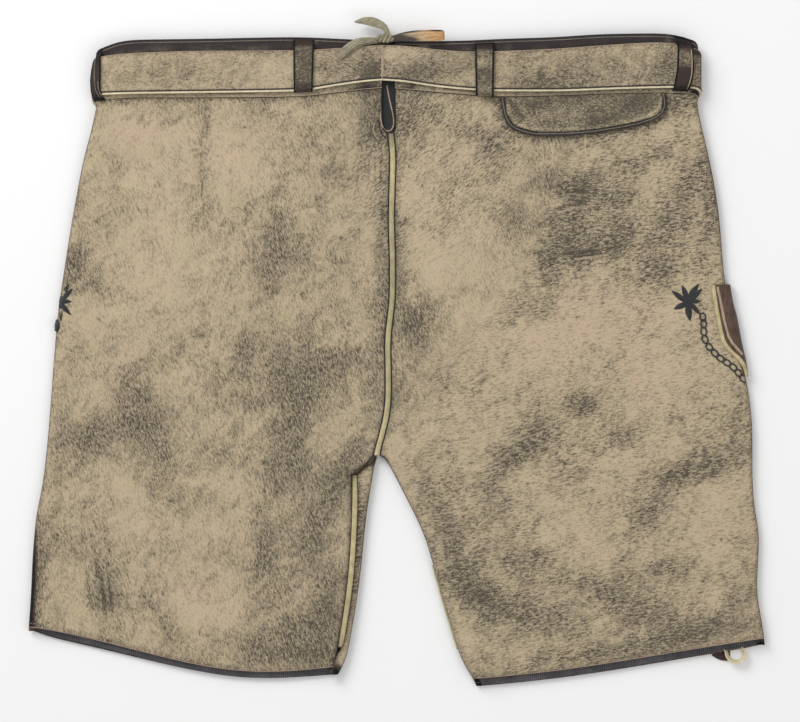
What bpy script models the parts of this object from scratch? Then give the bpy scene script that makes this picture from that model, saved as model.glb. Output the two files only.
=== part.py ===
"""Short leather breeches with their belt, laid flat on their front so that the back is up.

Plan positions are drafted in millimetres: "across" runs to the right of the outline's middle, "down" runs from the
highest point of the waistband towards the hems. Heights and wall thicknesses are millimetres above the surface that
the garment lies on. place() turns all three into metres: +X across, +Y towards the waist, +Z up.
"""

import math
from collections import namedtuple

import bmesh
import bpy
from mathutils import Vector

# Driving sizes, in millimetres
WAIST_FLAT = 505.0
DRAFTED_WAIST = 505.0
LEATHER = 1.8
BAND = 2.6
BELT = 2.5
LOOP = 1.6
THONG = 1.4
GAP = 0.3
BAND_GAP = 0.6
MM = 0.001
SIZE = WAIST_FLAT / DRAFTED_WAIST * MM

# The drafted point that lies at the origin
MIDDLE_ACROSS = 0.675
MIDDLE_DOWN = 270.652

# How far each layer's outer face lies out from the outer face of the leather panels
BAND_FACE = BAND - LEATHER
BELT_INSIDE = BAND_FACE + GAP
BELT_FACE = BELT_INSIDE + BELT
LOOP_INSIDE = BELT_FACE + GAP
WAIST_LIFT = BELT_FACE

# The rolls of the side folds and the legs' inner folds, and how far the leather beside them is raised
SIDE_ROLL = 4.5
INNER_ROLL = 3.2
EDGE_RISE = 2.0
EDGE_REACH = 17.0

# Where the crotch is, and over what depths the panels turn from the centre seam to the legs' inner folds
CROTCH_DOWN = 349.5
CROTCH_BLEND = 10.0
CROTCH_SHIFT = 12.0
LEAST_WRAP = 0.2
WRAP_STEP = 0.5
WRAP_POINTS = {"left": 8, "right": 4}

# Seams, the open vent and the gusset behind it
VENT_HALF = 5.4
VENT_END = 77.0
GUSSET = 1.2
GUSSET_HALF = 11.0
GUSSET_TOP = 8.6
GUSSET_END = 90.0
BELT_SEAM = -11.2
FRONT_SEAM = -12.0

# Piping: flat strips, and a round cord on the right leg
PIPING = 4.4
PIPING_THICK = 1.3
PIPING_PROUD = 0.4
PIPED_FROM = 366.0
PIPED_TO = 510.0
PIPING_ROUND = ((-1, 0.35), (-0.6, 0.85), (0, 1), (0.6, 0.85), (1, 0.35))
CORD_RADIUS = 1.0
CORD_SINK = 0.1
CORD_START = 432.0
CORD_END = 521.0

# Hems: how far the front shows below the back, and the facing inside it
FRONT_OVERHANG = 6.6
FACING = 1.0
FACING_DEPTH = 24.0

# Rows and columns of the panels, and the depths over which rows follow the waist and the hem
WAIST_DOWN = 30.0
ROW_STEP = 17.5
ROW_MARKS = (62, 68, VENT_END, 79, 80.8, 82, 343, CROTCH_DOWN, 351.5, 353.5, 356, 359, 362, 366, 480.5, 484, 493)
TOP_SKEW_OVER = 16.0
HEM_SKEW_FROM = 385.0
BACK_COLUMNS = 18
FRONT_SHARES = (0.05, 0.2, 0.4, 0.6, 0.8, 1.0)

Side = namedtuple("Side", "down left right")
SIDES = (
    Side(0, -248.2, 249.8),
    Side(62, -248.4, 250),
    Side(70, -250.4, 251.8),
    Side(80, -252.5, 254),
    Side(96, -257, 258),
    Side(113, -261, 261.5),
    Side(130, -264, 265),
    Side(163, -270, 269),
    Side(196, -275, 271.5),
    Side(229, -280, 276.5),
    Side(262, -283, 284.5),
    Side(295, -285.5, 292),
    Side(329, -288, 295.5),
    Side(362, -291.5, 295.5),
    Side(380, -294, 296),
    Side(396, -298, 297.6),
    Side(412, -299.5, 301.3),
    Side(437, -301.5, 300.3),
    Side(462, -302.5, 299),
    Side(478, -303.5, 301.5),
    Side(492, -304.5, 304),
    Side(508, -304.5, 306),
)

Seam = namedtuple("Seam", "down across")
CENTRE_BACK = (
    Seam(0, -6.3),
    Seam(73, -6.3),
    Seam(80, -5.3),
    Seam(86, -3.2),
    Seam(92, -2.3),
    Seam(129, -3.3),
    Seam(160, -4),
    Seam(182, -2.8),
    Seam(221, -3),
    Seam(254, -7.2),
    Seam(285, -6.3),
    Seam(307, -6.5),
    Seam(323, -9),
    Seam(339, -14),
    Seam(349.5, -16),
)

# The left leg's inner side: where the back panel stops, and where the outline folds
LeftLeg = namedtuple("LeftLeg", "down edge fold")
LEFT_LEG = (
    LeftLeg(349.5, -18.6, -14.4),
    LeftLeg(355.5, -23.5, -16.8),
    LeftLeg(362, -33, -18.3),
    LeftLeg(366, -37.2, -18.8),
    LeftLeg(387, -36.4, -22.5),
    LeftLeg(411, -37.2, -25.9),
    LeftLeg(435, -38.6, -27.9),
    LeftLeg(463, -41.2, -31.2),
    LeftLeg(490, -45.4, -35.6),
    LeftLeg(513, -49.2, -39.8),
    LeftLeg(524, -52.2, -43.6),
    LeftLeg(533, -55.5, -49),
)

RightLeg = namedtuple("RightLeg", "down fold")
RIGHT_LEG = (
    RightLeg(349.5, -13.4),
    RightLeg(351.5, -9.6),
    RightLeg(362, -3.3),
    RightLeg(378, 5),
    RightLeg(395, 14),
    RightLeg(412, 21.6),
    RightLeg(428, 28.2),
    RightLeg(445, 31.5),
    RightLeg(462, 36.4),
    RightLeg(478, 41.2),
    RightLeg(495, 46.2),
    RightLeg(511, 51.4),
    RightLeg(523, 56),
    RightLeg(535, 64),
    RightLeg(542, 67),
)

# The waist, seen from the back: band and belt edges across the garment
Waist = namedtuple("Waist", "across band_top belt_top belt_low band_low")
WAIST_BACK = (
    Waist(-246, 14, 20, 51.0, 55.6),
    Waist(-238, 9.6, 18.4, 50.8, 54.6),
    Waist(-222, 5.8, 17, 50.2, 53.1),
    Waist(-160, 4.8, 15, 49.4, 53.1),
    Waist(-83, 3.5, 14.5, 48.1, 52.3),
    Waist(-40, 5.2, 12.2, 42, 47.8),
    Waist(-11, 6.6, 10, 39, 45.2),
    Waist(4, 6.8, 10.4, 39.8, 45.8),
    Waist(30, 6.8, 13.5, 44, 48.2),
    Waist(66, 6, 15.8, 47.3, 51),
    Waist(85, 5, 15.2, 48.1, 52.3),
    Waist(130, 3.5, 13.3, 48.1, 51.6),
    Waist(176, 0.8, 10, 46.5, 49.8),
    Waist(222, 0.3, 7.8, 45.2, 49),
    Waist(238, 2.8, 9.6, 45, 49.4),
    Waist(245, 5.8, 12.4, 45.5, 50),
)
WAIST_FRONT = (
    Waist(-246, 27, 32, 61.8, 66.1),
    Waist(-206, 22, 27, 61.5, 65.6),
    Waist(206, 15.5, 20.5, 55.4, 59.4),
    Waist(245, 20, 25, 55.4, 59),
)

# How high the back's outer face lies along the middle of the garment
Level = namedtuple("Level", "down height")
LEVELS = (
    Level(0, 9.2),
    Level(62, 9.2),
    Level(84, 7.8),
    Level(112, 6.4),
    Level(160, 5.6),
    Level(230, 5.2),
    Level(300, 5.2),
    Level(350, 5.6),
    Level(400, 5.2),
    Level(450, 5.2),
    Level(490, 5.7),
    Level(540, 6.0),
)

# Hills and folds of the back: middle, direction of the ridge in degrees, half length, half width and height
Fold = namedtuple("Fold", "name across down turn long wide high")
FOLDS = (
    Fold("seat_left", -125, 185, 0, 70, 62, 2.2),
    Fold("seat_right", 135, 195, 0, 72, 64, 2.2),
    Fold("thigh_left", -175, 420, 20, 60, 46, 1.6),
    Fold("thigh_right", 190, 425, -20, 62, 48, 1.6),
    Fold("crotch_overlap", -31, 359, 38, 20, 5.5, 3.4),
    Fold("crotch_drag_left", -62, 318, -52, 44, 9, 1.7),
    Fold("crotch_drag_left_low", -98, 372, 8, 46, 10, 1.2),
    Fold("crotch_drag_right", 40, 330, 48, 46, 10, 1.6),
    Fold("crotch_drag_right_low", 84, 402, 30, 52, 11, 1.5),
    Fold("hip_left", -222, 262, 70, 62, 12, 1.3),
    Fold("hip_right", 236, 268, -74, 58, 12, 1.2),
    Fold("seat_crease_right", 150, 178, -12, 34, 7, 1.2),
    Fold("knee_left", -215, 470, -76, 44, 10, 1.4),
    Fold("knee_right", 232, 462, 78, 40, 10, 1.4),
    Fold("hem_left", -110, 500, -8, 60, 12, 1.0),
    Fold("hem_right", 150, 492, 10, 64, 13, 1.1),
    Fold("hem_lace_rise", 274, 510, 0, 27, 27, 2.6),
    Fold("vent_pucker_left", -24, 84, -30, 13, 5, 1.0),
    Fold("vent_pucker_right", 16, 84, 34, 14, 5, 1.0),
)

Hem = namedtuple("Hem", "side inner sag lean overhang")
HEMS = {
    "left": Hem(492, 524.7, 13.8, 1.5, 0.5),
    "right": Hem(501.5, 534.4, 3.4, 1.4, 0.8),
}

# The rear pocket's flap and the knife pocket at the right side seam
FlapSide = namedtuple("FlapSide", "depth left right")
FLAP_SIDES = (
    FlapSide(0.0, 90.6, 219.8),
    FlapSide(0.5, 91.1, 220.4),
    FlapSide(1.0, 96.0, 216.6),
)
FlapLow = namedtuple("FlapLow", "across down")
FLAP_LOW = (
    FlapLow(96, 72.8),
    FlapLow(107, 77.9),
    FlapLow(123, 80.2),
    FlapLow(141, 79.8),
    FlapLow(160, 78),
    FlapLow(187, 73.8),
    FlapLow(207, 69.4),
    FlapLow(216.6, 64.8),
)
FLAP = 1.5
FLAP_RIM = 3.0
FLAP_RIM_THICK = 1.9
KnifeEdge = namedtuple("KnifeEdge", "down welt outside")
KNIFE_POCKET = (
    KnifeEdge(208, 261.5, 277.5),
    KnifeEdge(222, 263.5, 279.6),
    KnifeEdge(235, 266.5, 283.2),
    KnifeEdge(247, 269.5, 285.4),
    KnifeEdge(256, 273.5, 287),
    KnifeEdge(263, 279, 288.6),
    KnifeEdge(271, 284, 290.6),
    KnifeEdge(284, 289, 292.4),
)
BAG = 1.2
WELT_WIDTH = 3.6
WELT_THICK = 1.8

# A belt loop's bend: its depth, its inner face out from the panel, and how far its outer face is longer
LoopBend = namedtuple("LoopBend", "down out spread")

# The lace tied at the top of the vent: the middle of its underside, and how wide it lies there
Station = namedtuple("Station", "order across down height wide")
Bend = namedtuple("Bend", "across down height wide")
LACE_TAIL_UPPER = (
    Bend(-7.9, 1.4, 12.6, 4.8),
    Bend(-7.6, -1.2, 12.6, 4.6),
    Bend(-9.6, -4.6, 12.0, 5.4),
    Bend(-14.5, -7.6, 10.8, 7.0),
    Bend(-20, -9.5, 9.6, 7.8),
    Bend(-26.6, -10.3, 8.6, 6.0),
    Bend(-31.2, -9.8, 8.0, 3.2),
    Bend(-34.4, -9.4, 7.8, 1.0),
)
LACE_TAIL_LOWER = (
    Bend(-17.1, 6.2, 11.4, 4.4),
    Bend(-23.2, 6.6, 12.6, 6.0),
    Bend(-29.9, 7.6, 13.4, 7.0),
    Bend(-36.5, 10.8, 13.5, 7.8),
    Bend(-42.3, 15.4, 13.4, 7.6),
    Bend(-47.4, 20.8, 13.3, 5.2),
)
# Its loop, folded over at the far end: the middle of the thong
LACE_LOOP = (
    Bend(-3.4, 4.8, 11.3, 4.6),
    Bend(8, 2.4, 11.2, 6.8),
    Bend(22, 1.2, 11.2, 7.8),
    Bend(35, 1.1, 11.3, 7.8),
    Bend(38.2, 1.4, 11.7, 7.8),
    Bend(39.6, 1.9, 12.9, 7.8),
    Bend(38.2, 2.5, 14.2, 7.8),
    Bend(35, 2.8, 14.6, 7.8),
    Bend(22, 2.9, 14.7, 7.8),
    Bend(8, 3.6, 14.5, 6.6),
    Bend(-3.4, 5.0, 14.1, 4.4),
)
Knot = namedtuple("Knot", "across down height half_across half_down half_high")
KNOT = Knot(-10.2, 5.4, 13.4, 6.4, 3.5, 3.0)

# The loop of the right hem's lace: the foot of the band, which leans out; and the dark end beside it
HEM_LACE_LOOP = (
    Bend(275.8, 513.0, 1.4, 4.2),
    Bend(276.6, 515.4, 1.4, 4.2),
    Bend(279, 518.2, 1.3, 4.2),
    Bend(282.4, 519.1, 1.2, 4.2),
    Bend(285.4, 518.2, 1.2, 4.2),
    Bend(286.8, 515.6, 1.2, 4.2),
    Bend(286.9, 513, 1.2, 4.2),
    Bend(286.6, 511.6, 1.2, 4.2),
)
HEM_LACE_LEAN = 2.8
HEM_LACE = 1.2
TabLow = namedtuple("TabLow", "across down")
HEM_TAB_LOW = (
    TabLow(262.4, 516.0),
    TabLow(264.6, 517.3),
    TabLow(267, 518.7),
    TabLow(271, 519.9),
    TabLow(277.2, 520.3),
)
HEM_TAB = 0.9
HEM_TAB_LIFT = 0.1

Paint = namedtuple("Paint", "colour roughness metallic")
PAINTS = {
    "suede": Paint((0.42, 0.35, 0.25), 0.92, 0.0),
    "dark_leather": Paint((0.06, 0.045, 0.035), 0.6, 0.0),
    "piping": Paint((0.62, 0.54, 0.33), 0.75, 0.0),
    "lining": Paint((0.09, 0.09, 0.10), 0.9, 0.0),
    "thong": Paint((0.36, 0.32, 0.22), 0.8, 0.0),
}


def smooth(rows, start, value):
    """A function of the column start that runs smoothly through the column value, with no overshoot."""
    at = [getattr(row, start) for row in rows]
    to = [getattr(row, value) for row in rows]
    slopes = [(to[i + 1] - to[i]) / (at[i + 1] - at[i]) for i in range(len(at) - 1)]
    tangents = [slopes[0]]
    for before, after in zip(slopes, slopes[1:]):
        turns = before * after <= 0
        tangents.append(0.0 if turns else 2 * before * after / (before + after))
    tangents.append(slopes[-1])

    def run(t):
        t = min(max(t, at[0]), at[-1])
        i = next(k for k in range(len(slopes)) if t <= at[k + 1])
        span = at[i + 1] - at[i]
        f = (t - at[i]) / span
        return (
            to[i] * (1 + 2 * f) * (1 - f) ** 2
            + to[i + 1] * f * f * (3 - 2 * f)
            + span * (tangents[i] * f * (1 - f) ** 2 - tangents[i + 1] * f * f * (1 - f))
        )

    return run


def mix(a, b, share):
    return a + (b - a) * share


def ease(share):
    share = min(max(share, 0.0), 1.0)
    return share * share * (3 - 2 * share)


SIDE_AT = {"left": smooth(SIDES, "down", "left"), "right": smooth(SIDES, "down", "right")}
INTO = {"left": 1, "right": -1}
SEAM_AT = smooth(CENTRE_BACK, "down", "across")
LEFT_EDGE_AT = smooth(LEFT_LEG, "down", "edge")
LEFT_FOLD_AT = smooth(LEFT_LEG, "down", "fold")
RIGHT_FOLD_AT = smooth(RIGHT_LEG, "down", "fold")
LEVEL_AT = smooth(LEVELS, "down", "height")
BACK_EDGE = {name: smooth(WAIST_BACK, "across", name) for name in Waist._fields[1:]}
FRONT_EDGE = {name: smooth(WAIST_FRONT, "across", name) for name in Waist._fields[1:]}
FLAP_LEFT_AT = smooth(FLAP_SIDES, "depth", "left")
FLAP_RIGHT_AT = smooth(FLAP_SIDES, "depth", "right")
FLAP_LOW_AT = smooth(FLAP_LOW, "across", "down")
WELT_AT = smooth(KNIFE_POCKET, "down", "welt")
OUTSIDE_AT = smooth(KNIFE_POCKET, "down", "outside")


def place(across, down, height):
    return Vector(
        (
            (across - MIDDLE_ACROSS) * SIZE,
            (MIDDLE_DOWN - down) * SIZE,
            height * MM,
        )
    )


def fold_height(across, down):
    """The sum of all hills and folds at a point."""
    total = 0.0
    for fold in FOLDS:
        turn = math.radians(fold.turn)
        x, y = across - fold.across, fold.down - down
        along = (x * math.cos(turn) + y * math.sin(turn)) / fold.long
        aside = (y * math.cos(turn) - x * math.sin(turn)) / fold.wide
        total += fold.high * math.exp(-along * along - aside * aside)
    return total


def edge_height(across, down):
    """The roll of stiff leather beside the outline's folds."""
    near = min(across - SIDE_AT["left"](down), SIDE_AT["right"](down) - across)
    if down > CROTCH_DOWN:
        inner = LEFT_FOLD_AT(down) - across if across < FRONT_SEAM else across - RIGHT_FOLD_AT(down)
        near = min(near, inner + EDGE_REACH * (1 - ease((down - CROTCH_DOWN) / (2 * CROTCH_BLEND))))
    below_waist = ease((down - 50) / 40)
    return EDGE_RISE * below_waist * math.exp(-((near - SIDE_ROLL) / EDGE_REACH) ** 2)


def plain_level(across, down):
    """Height of the outer face on top, before its hills and folds."""
    return LEVEL_AT(down) + edge_height(across, down)


def top_level(across, down):
    """Height of the back's outer face."""
    below_belt = ease((down - 50) / 25)
    return plain_level(across, down) + fold_height(across, down) * below_belt


def under_level(across, down):
    """Height of the front's outer face: flat on the surface, but lifted by the belt at the waist."""
    below_belt = (down - FRONT_EDGE["belt_low"](across) - 2) / 16
    return WAIST_LIFT * (1 - ease(below_belt))


def half_gap(down):
    """From the centre back seam's line to a panel's edge: the open vent, then the piping."""
    if down <= VENT_END:
        return VENT_HALF
    seam = PIPING / 2 + GAP
    round_end = max(VENT_HALF**2 - (down - VENT_END) ** 2, 0.0)
    return max(math.sqrt(round_end), seam)


def inner_edge(side, down):
    """Where a back panel ends towards the middle: at the centre back seam, then at the leg's inner side."""
    if down <= CROTCH_DOWN:
        return SEAM_AT(down) - INTO[side] * half_gap(down)
    return LEFT_EDGE_AT(down) if side == "left" else RIGHT_FOLD_AT(down)


def hem_down(side, share):
    """Depth of the back's hem, from the side (0) to the leg's inner side (1)."""
    hem = HEMS[side]
    return mix(hem.side, hem.inner, share) + hem.sag * math.sin(math.pi * share**hem.lean)


def levels(top, bottom, step, landmarks):
    """Depths from top to bottom, about a step apart, with every landmark among them."""
    kept = sorted({top, bottom, *[d for d in landmarks if top < d < bottom]})
    found = []
    for start, end in zip(kept, kept[1:]):
        count = max(1, round((end - start) / step))
        found += [mix(start, end, i / count) for i in range(count)]
    return found + [bottom]


def shares(count, first=0.0, last=1.0):
    return [mix(first, last, i / count) for i in range(count + 1)]


def ring(side, down, degrees, out):
    """A point of the side fold. 90 degrees is its crest on top, 0 the seam and -90 its foot."""
    crest = SIDE_AT[side](down) + INTO[side] * SIDE_ROLL
    high, low = top_level(crest, down), under_level(crest, down)
    turn = math.radians(degrees)
    across = crest - INTO[side] * (SIDE_ROLL + out) * math.cos(turn)
    return across, (high + low) / 2 + ((high - low) / 2 + out) * math.sin(turn)


def seam_angle(side, down):
    """The angle at which a panel stops, half a gap from the seam at the fold's outermost line."""
    crest = SIDE_AT[side](down) + INTO[side] * SIDE_ROLL
    half = (top_level(crest, down) - under_level(crest, down)) / 2
    return math.degrees(math.asin(GAP / 2 / half))


def wall(name, rows_out, rows_in, paint):
    """A closed wall lofted through sections: each row of outer points, and the same row moved in."""
    built = bmesh.new()
    faces_of = []
    for rows in (rows_out, rows_in):
        faces_of.append([[built.verts.new(place(*point)) for point in row] for row in rows])
    outer, inner = faces_of
    last_row, last = len(outer) - 1, len(outer[0]) - 1
    for r in range(last_row):
        for c in range(last):
            for grid in (outer, inner):
                built.faces.new((grid[r][c], grid[r][c + 1], grid[r + 1][c + 1], grid[r + 1][c]))
        for c in (0, last):
            built.faces.new((outer[r][c], outer[r + 1][c], inner[r + 1][c], inner[r][c]))
    for c in range(last):
        for r in (0, last_row):
            built.faces.new((outer[r][c], inner[r][c], inner[r][c + 1], outer[r][c + 1]))
    closed_mesh(name, built, paint)


def closed_mesh(name, built, paint):
    """Finish a bmesh as one of the garment's pieces."""
    bmesh.ops.recalc_face_normals(built, faces=built.faces)
    mesh = bpy.data.meshes.new(name)
    built.to_mesh(mesh)
    built.free()
    mesh.shade_smooth()
    mesh.set_sharp_from_angle(angle=math.radians(40))
    mesh.materials.append(bpy.data.materials[paint])
    obj = bpy.data.objects.new(name, mesh)
    bpy.data.collections["lederhosen"].objects.link(obj)


def cord(name, points, radius, paint):
    """A round cord along points, closed at both ends."""
    data = bpy.data.curves.new(name, "CURVE")
    data.dimensions = "3D"
    data.bevel_depth = radius * MM
    data.bevel_resolution = 2
    data.use_fill_caps = True
    line = data.splines.new("POLY")
    line.points.add(len(points) - 1)
    for spot, point in zip(line.points, points):
        spot.co = (*place(*point), 1)
    data.materials.append(bpy.data.materials[paint])
    obj = bpy.data.objects.new(name, data)
    bpy.data.collections["lederhosen"].objects.link(obj)


# ---------------------------------------------------------------- leather panels


def round_side(side, edge, degrees):
    """Depth of a waist edge on the side fold, on its way from the back to the front."""
    crest = SIDE_AT[side](WAIST_DOWN) + INTO[side] * SIDE_ROLL
    return mix(BACK_EDGE[edge](crest), FRONT_EDGE[edge](crest), ease((90 - degrees) / 180))


def depth_at(side, share, d, top):
    """Depth of the row that passes the side seam at depth d, at a share of the way to the leg's inner side.

    top is the band's lower edge there; the rows follow it at the waist, and the hem at the hem.
    """
    seam_top, hem = round_side(side, "band_low", 0), HEMS[side].side
    top_part = 1 - ease((d - seam_top - BAND_GAP) / TOP_SKEW_OVER)
    hem_part = max(0.0, (d - HEM_SKEW_FROM) / (hem - HEM_SKEW_FROM)) ** 1.4
    return d + (top - seam_top) * top_part + (hem_down(side, share) - hem) * hem_part


def row_depths(side):
    """Depths of the rows at the side seam, the same for both panels of a leg."""
    top = round_side(side, "band_low", 0) + BAND_GAP
    return levels(top, HEMS[side].side, ROW_STEP, ROW_MARKS)


def fold_rows(side, d, offset, angles, reach=0.0):
    """The part of a section that lies round the side fold."""
    points = []
    for degrees in angles:
        down = depth_at(side, 0, d, round_side(side, "band_low", degrees)) + reach
        across, height = ring(side, down, degrees, -offset)
        points.append((across, down, height))
    return points


def back_down(side, share, d):
    """Depth on a back panel, at a share of the way from its side to its inner edge."""
    crest = SIDE_AT[side](WAIST_DOWN) + INTO[side] * SIDE_ROLL
    last = inner_edge(side, WAIST_DOWN) + (INNER_ROLL if side == "right" else 0.0)
    return depth_at(side, share, d, BACK_EDGE["band_low"](mix(crest, last, share)))


def back_row(side, d, offset):
    """One section of a back panel, from its side seam to its inner edge."""
    row = fold_rows(side, d, offset, (seam_angle(side, d), 30, 60, 90))
    rolled = side == "right"
    for share in shares(BACK_COLUMNS)[1:]:
        down = back_down(side, share, d)
        crest = SIDE_AT[side](down) + INTO[side] * SIDE_ROLL
        last = inner_edge(side, down) + (INNER_ROLL if rolled else 0.0)
        across = mix(crest, last, share)
        row.append((across, down, top_level(across, down) - offset))
    if rolled:
        row += right_inner_roll(down, offset)
    return row


def inner_stop(down, high):
    """The angle at which a panel stops at the right leg's inner seam, wider where the piping lies in it."""
    opening = mix(GAP, 2 * CORD_RADIUS + 2 * GAP, ease((down - CORD_START + 20) / 18))
    return math.degrees(math.asin(opening / high))


def right_inner_roll(down, offset):
    """The back's turn over the right leg's inner fold; still flat at the centre seam."""
    turned = ease((down - CROTCH_DOWN) / CROTCH_BLEND)
    edge = inner_edge("right", down)
    crest = edge + INNER_ROLL
    high = top_level(crest, down)
    points = []
    for degrees, flat_share in ((60, 1 / 3), (30, 2 / 3), (inner_stop(down, high), 1)):
        turn = math.radians(degrees)
        flat_across = crest - INNER_ROLL * flat_share
        flat_height = top_level(flat_across, down) - offset
        across = crest - (INNER_ROLL - offset) * math.cos(turn)
        height = high / 2 + (high / 2 - offset) * math.sin(turn)
        points.append((mix(flat_across, across, turned), down, mix(flat_height, height, turned)))
    return points


def back_panel(side):
    depths = row_depths(side)
    outside = [back_row(side, d, 0.0) for d in depths]
    inside = [back_row(side, d, LEATHER) for d in depths]
    wall(f"back_{side}", outside, inside, "suede")


def front_down(side, share, d, overhang=0.0):
    """Depth on a front panel, at a share of the way from its side to its inner edge."""
    at_waist = mix(SIDE_AT[side](WAIST_DOWN), FRONT_SEAM, share)
    reach = overhang * mix(HEMS[side].overhang, 1.0, ease(share * 20))
    return depth_at(side, share, d, FRONT_EDGE["band_low"](at_waist)) + reach


def at_crotch(down):
    """0 where a panel runs to the centre seam, 1 where it runs to the leg's inner fold."""
    return ease((down - CROTCH_DOWN) / CROTCH_SHIFT + 1)


def front_span(side, down):
    """Where a front panel starts and ends being flat on the surface."""
    start = SIDE_AT[side](down) + INTO[side] * SIDE_ROLL
    flat_stop = FRONT_SEAM - INTO[side] * (GAP / 2 + WRAP_STEP * WRAP_POINTS[side])
    return start, mix(flat_stop, front_crest(side, down), at_crotch(down))


def front_row(side, d, overhang, offset):
    """One section of a front panel: down the side fold, flat, then the centre seam or the leg's inner fold."""
    reach = overhang * HEMS[side].overhang
    row = fold_rows(side, d, offset, (-seam_angle(side, d), -30, -60, -90), reach)
    for share in FRONT_SHARES:
        down = front_down(side, share, d, overhang)
        across = mix(*front_span(side, down), share)
        row.append((across, down, under_level(across, down) + offset))
    return row + turned_up(side, down, offset)


def turned_up(side, down, offset):
    """The last points of a front section: flat beside the centre seam, or round the leg's inner fold."""
    turned = ease((down - CROTCH_DOWN) / CROTCH_BLEND)
    reach = mix(LEAST_WRAP, 1.0, turned)
    line = [(front_crest(side, down), 0.0, 0.0), *front_wrap(side, down)]
    points = []
    for i in range(WRAP_POINTS[side]):
        flat = FRONT_SEAM - INTO[side] * (GAP / 2 + WRAP_STEP * (WRAP_POINTS[side] - 1 - i))
        across, height, bend = along(line, reach * (i + 1) / WRAP_POINTS[side])
        across -= INTO[side] * offset * math.sin(bend)
        height += offset * math.cos(bend)
        flat_height = under_level(flat, down) + offset
        points.append((mix(flat, across, at_crotch(down)), down, mix(flat_height, height, at_crotch(down))))
    return points


def along(line, share):
    """The point a share of the way along a line of points, measured in its first two columns."""
    lengths = [math.hypot(b[0] - a[0], b[1] - a[1]) for a, b in zip(line, line[1:])]
    left = share * sum(lengths)
    for start, end, length in zip(line, line[1:], lengths):
        if left <= length:
            return tuple(mix(a, b, left / length) for a, b in zip(start, end))
        left -= length
    return line[-1]


def front_crest(side, down):
    """Where a leg's inner fold starts to turn up from the flat."""
    fold = LEFT_FOLD_AT(down) if side == "left" else RIGHT_FOLD_AT(down)
    return fold - INTO[side] * INNER_ROLL


def front_wrap(side, down):
    """Across, height and bend from the flat of the outer points round a leg's inner fold."""
    crest = front_crest(side, down)
    if side == "left":
        high = plain_level(crest, down)
        angles = (-60, -30, 0, 30, 60, 90)
    else:
        high = top_level(crest, down)
        angles = (-60, -30, -inner_stop(down, high))
    points = []
    for degrees in angles:
        turn = math.radians(degrees)
        across = crest + INTO[side] * INNER_ROLL * math.cos(turn)
        points.append((across, high / 2 * (1 + math.sin(turn)), turn + math.pi / 2))
    if side == "left":
        end = LEFT_EDGE_AT(down) + GAP + (PIPING + GAP if down < PIPED_TO else 0.0)
        end = min(end, crest - 0.4)
        for share in (0.5, 1.0):
            across = mix(crest, end, share)
            points.append((across, plain_level(across, down), math.pi))
    return points


def front_panel(side):
    depths = row_depths(side)
    rows = [(d, 0.0) for d in depths] + [(depths[-1], FRONT_OVERHANG)]
    outside = [front_row(side, d, over, 0.0) for d, over in rows]
    inside = [front_row(side, d, over, LEATHER) for d, over in rows]
    wall(f"front_{side}", outside, inside, "suede")


def hem_facing(side):
    """The dark strip inside a front hem, on the front panel's inner face."""

    def facing_row(in_from_edge, offset):
        row = []
        for share in (0.0, FRONT_SHARES[0], *shares(9, 0.1)):
            down = front_down(side, share, HEMS[side].side, FRONT_OVERHANG) - in_from_edge
            start, stop = front_span(side, down)
            across = mix(start + INTO[side] * 2, stop - INTO[side] * 2, share)
            row.append((across, down, LEATHER + GAP + offset))
        return row

    steps = (FACING_DEPTH, FACING_DEPTH / 2, 0.8)
    outside = [facing_row(step, FACING) for step in steps]
    inside = [facing_row(step, 0.0) for step in steps]
    wall(f"hem_facing_{side}", outside, inside, "lining")


# ---------------------------------------------------------------- waist


def waist_row(side, edges, position, out, middles):
    """One row along the waist, from centre back round the side to centre front, that share of the way down."""

    def down_on(edge, across):
        top, low = edges
        return mix(edge[top](across), edge[low](across), position)

    row = []
    for share in shares(BACK_COLUMNS):
        across = mix(middles[0], SIDE_AT[side](WAIST_DOWN) + INTO[side] * SIDE_ROLL, share)
        down = down_on(BACK_EDGE, across)
        row.append((across, down, top_level(across, down) + out))
    crest = row[-1][0]
    for degrees in (60, 30, 0, -30, -60, -90):
        top, low = edges
        down = mix(round_side(side, top, degrees), round_side(side, low, degrees), position)
        across, height = ring(side, WAIST_DOWN, degrees, out)
        row.append((across, down, height))
    for share in shares(5)[1:]:
        across = mix(crest, middles[1], share)
        down = down_on(FRONT_EDGE, across)
        row.append((across, down, WAIST_LIFT - out))
    return row


def belt_half(side):
    """Half of the belt, from its seam at centre back round the side to centre front."""
    meet = INTO[side] * GAP / 2
    middles = (BELT_SEAM - meet, FRONT_SEAM - meet)
    edges = ("belt_top", "belt_low")
    outside = [waist_row(side, edges, position, BELT_FACE, middles) for position in shares(3)]
    inside = [waist_row(side, edges, position, BELT_INSIDE, middles) for position in shares(3)]
    wall(f"belt_{side}", outside, inside, "suede")


def waistband(side, back):
    """The back or the front piece of one side's band, cut at the side seam from a strap round the side."""
    whole = []
    for out in (BAND_FACE, BAND_FACE - BAND):
        middles = (SEAM_AT(20) - INTO[side] * VENT_HALF, FRONT_SEAM - INTO[side] * GAP / 2)
        rows = [waist_row(side, ("band_top", "band_low"), p, out, middles) for p in shares(4)]
        whole.append([back_part(row) if back else front_part(row) for row in rows])
    part = "back" if back else "front"
    wall(f"waistband_{part}_{side}", whole[0], whole[1], "dark_leather")


def back_part(row):
    """A waist row's points above the side seam, down to half a gap from it."""
    seam = BACK_COLUMNS + 3
    return row[:seam] + [toward(row[seam], row[seam - 1])]


def front_part(row):
    """A waist row's points below the side seam."""
    seam = BACK_COLUMNS + 3
    return [toward(row[seam], row[seam + 1])] + row[seam + 1 :]


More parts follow.
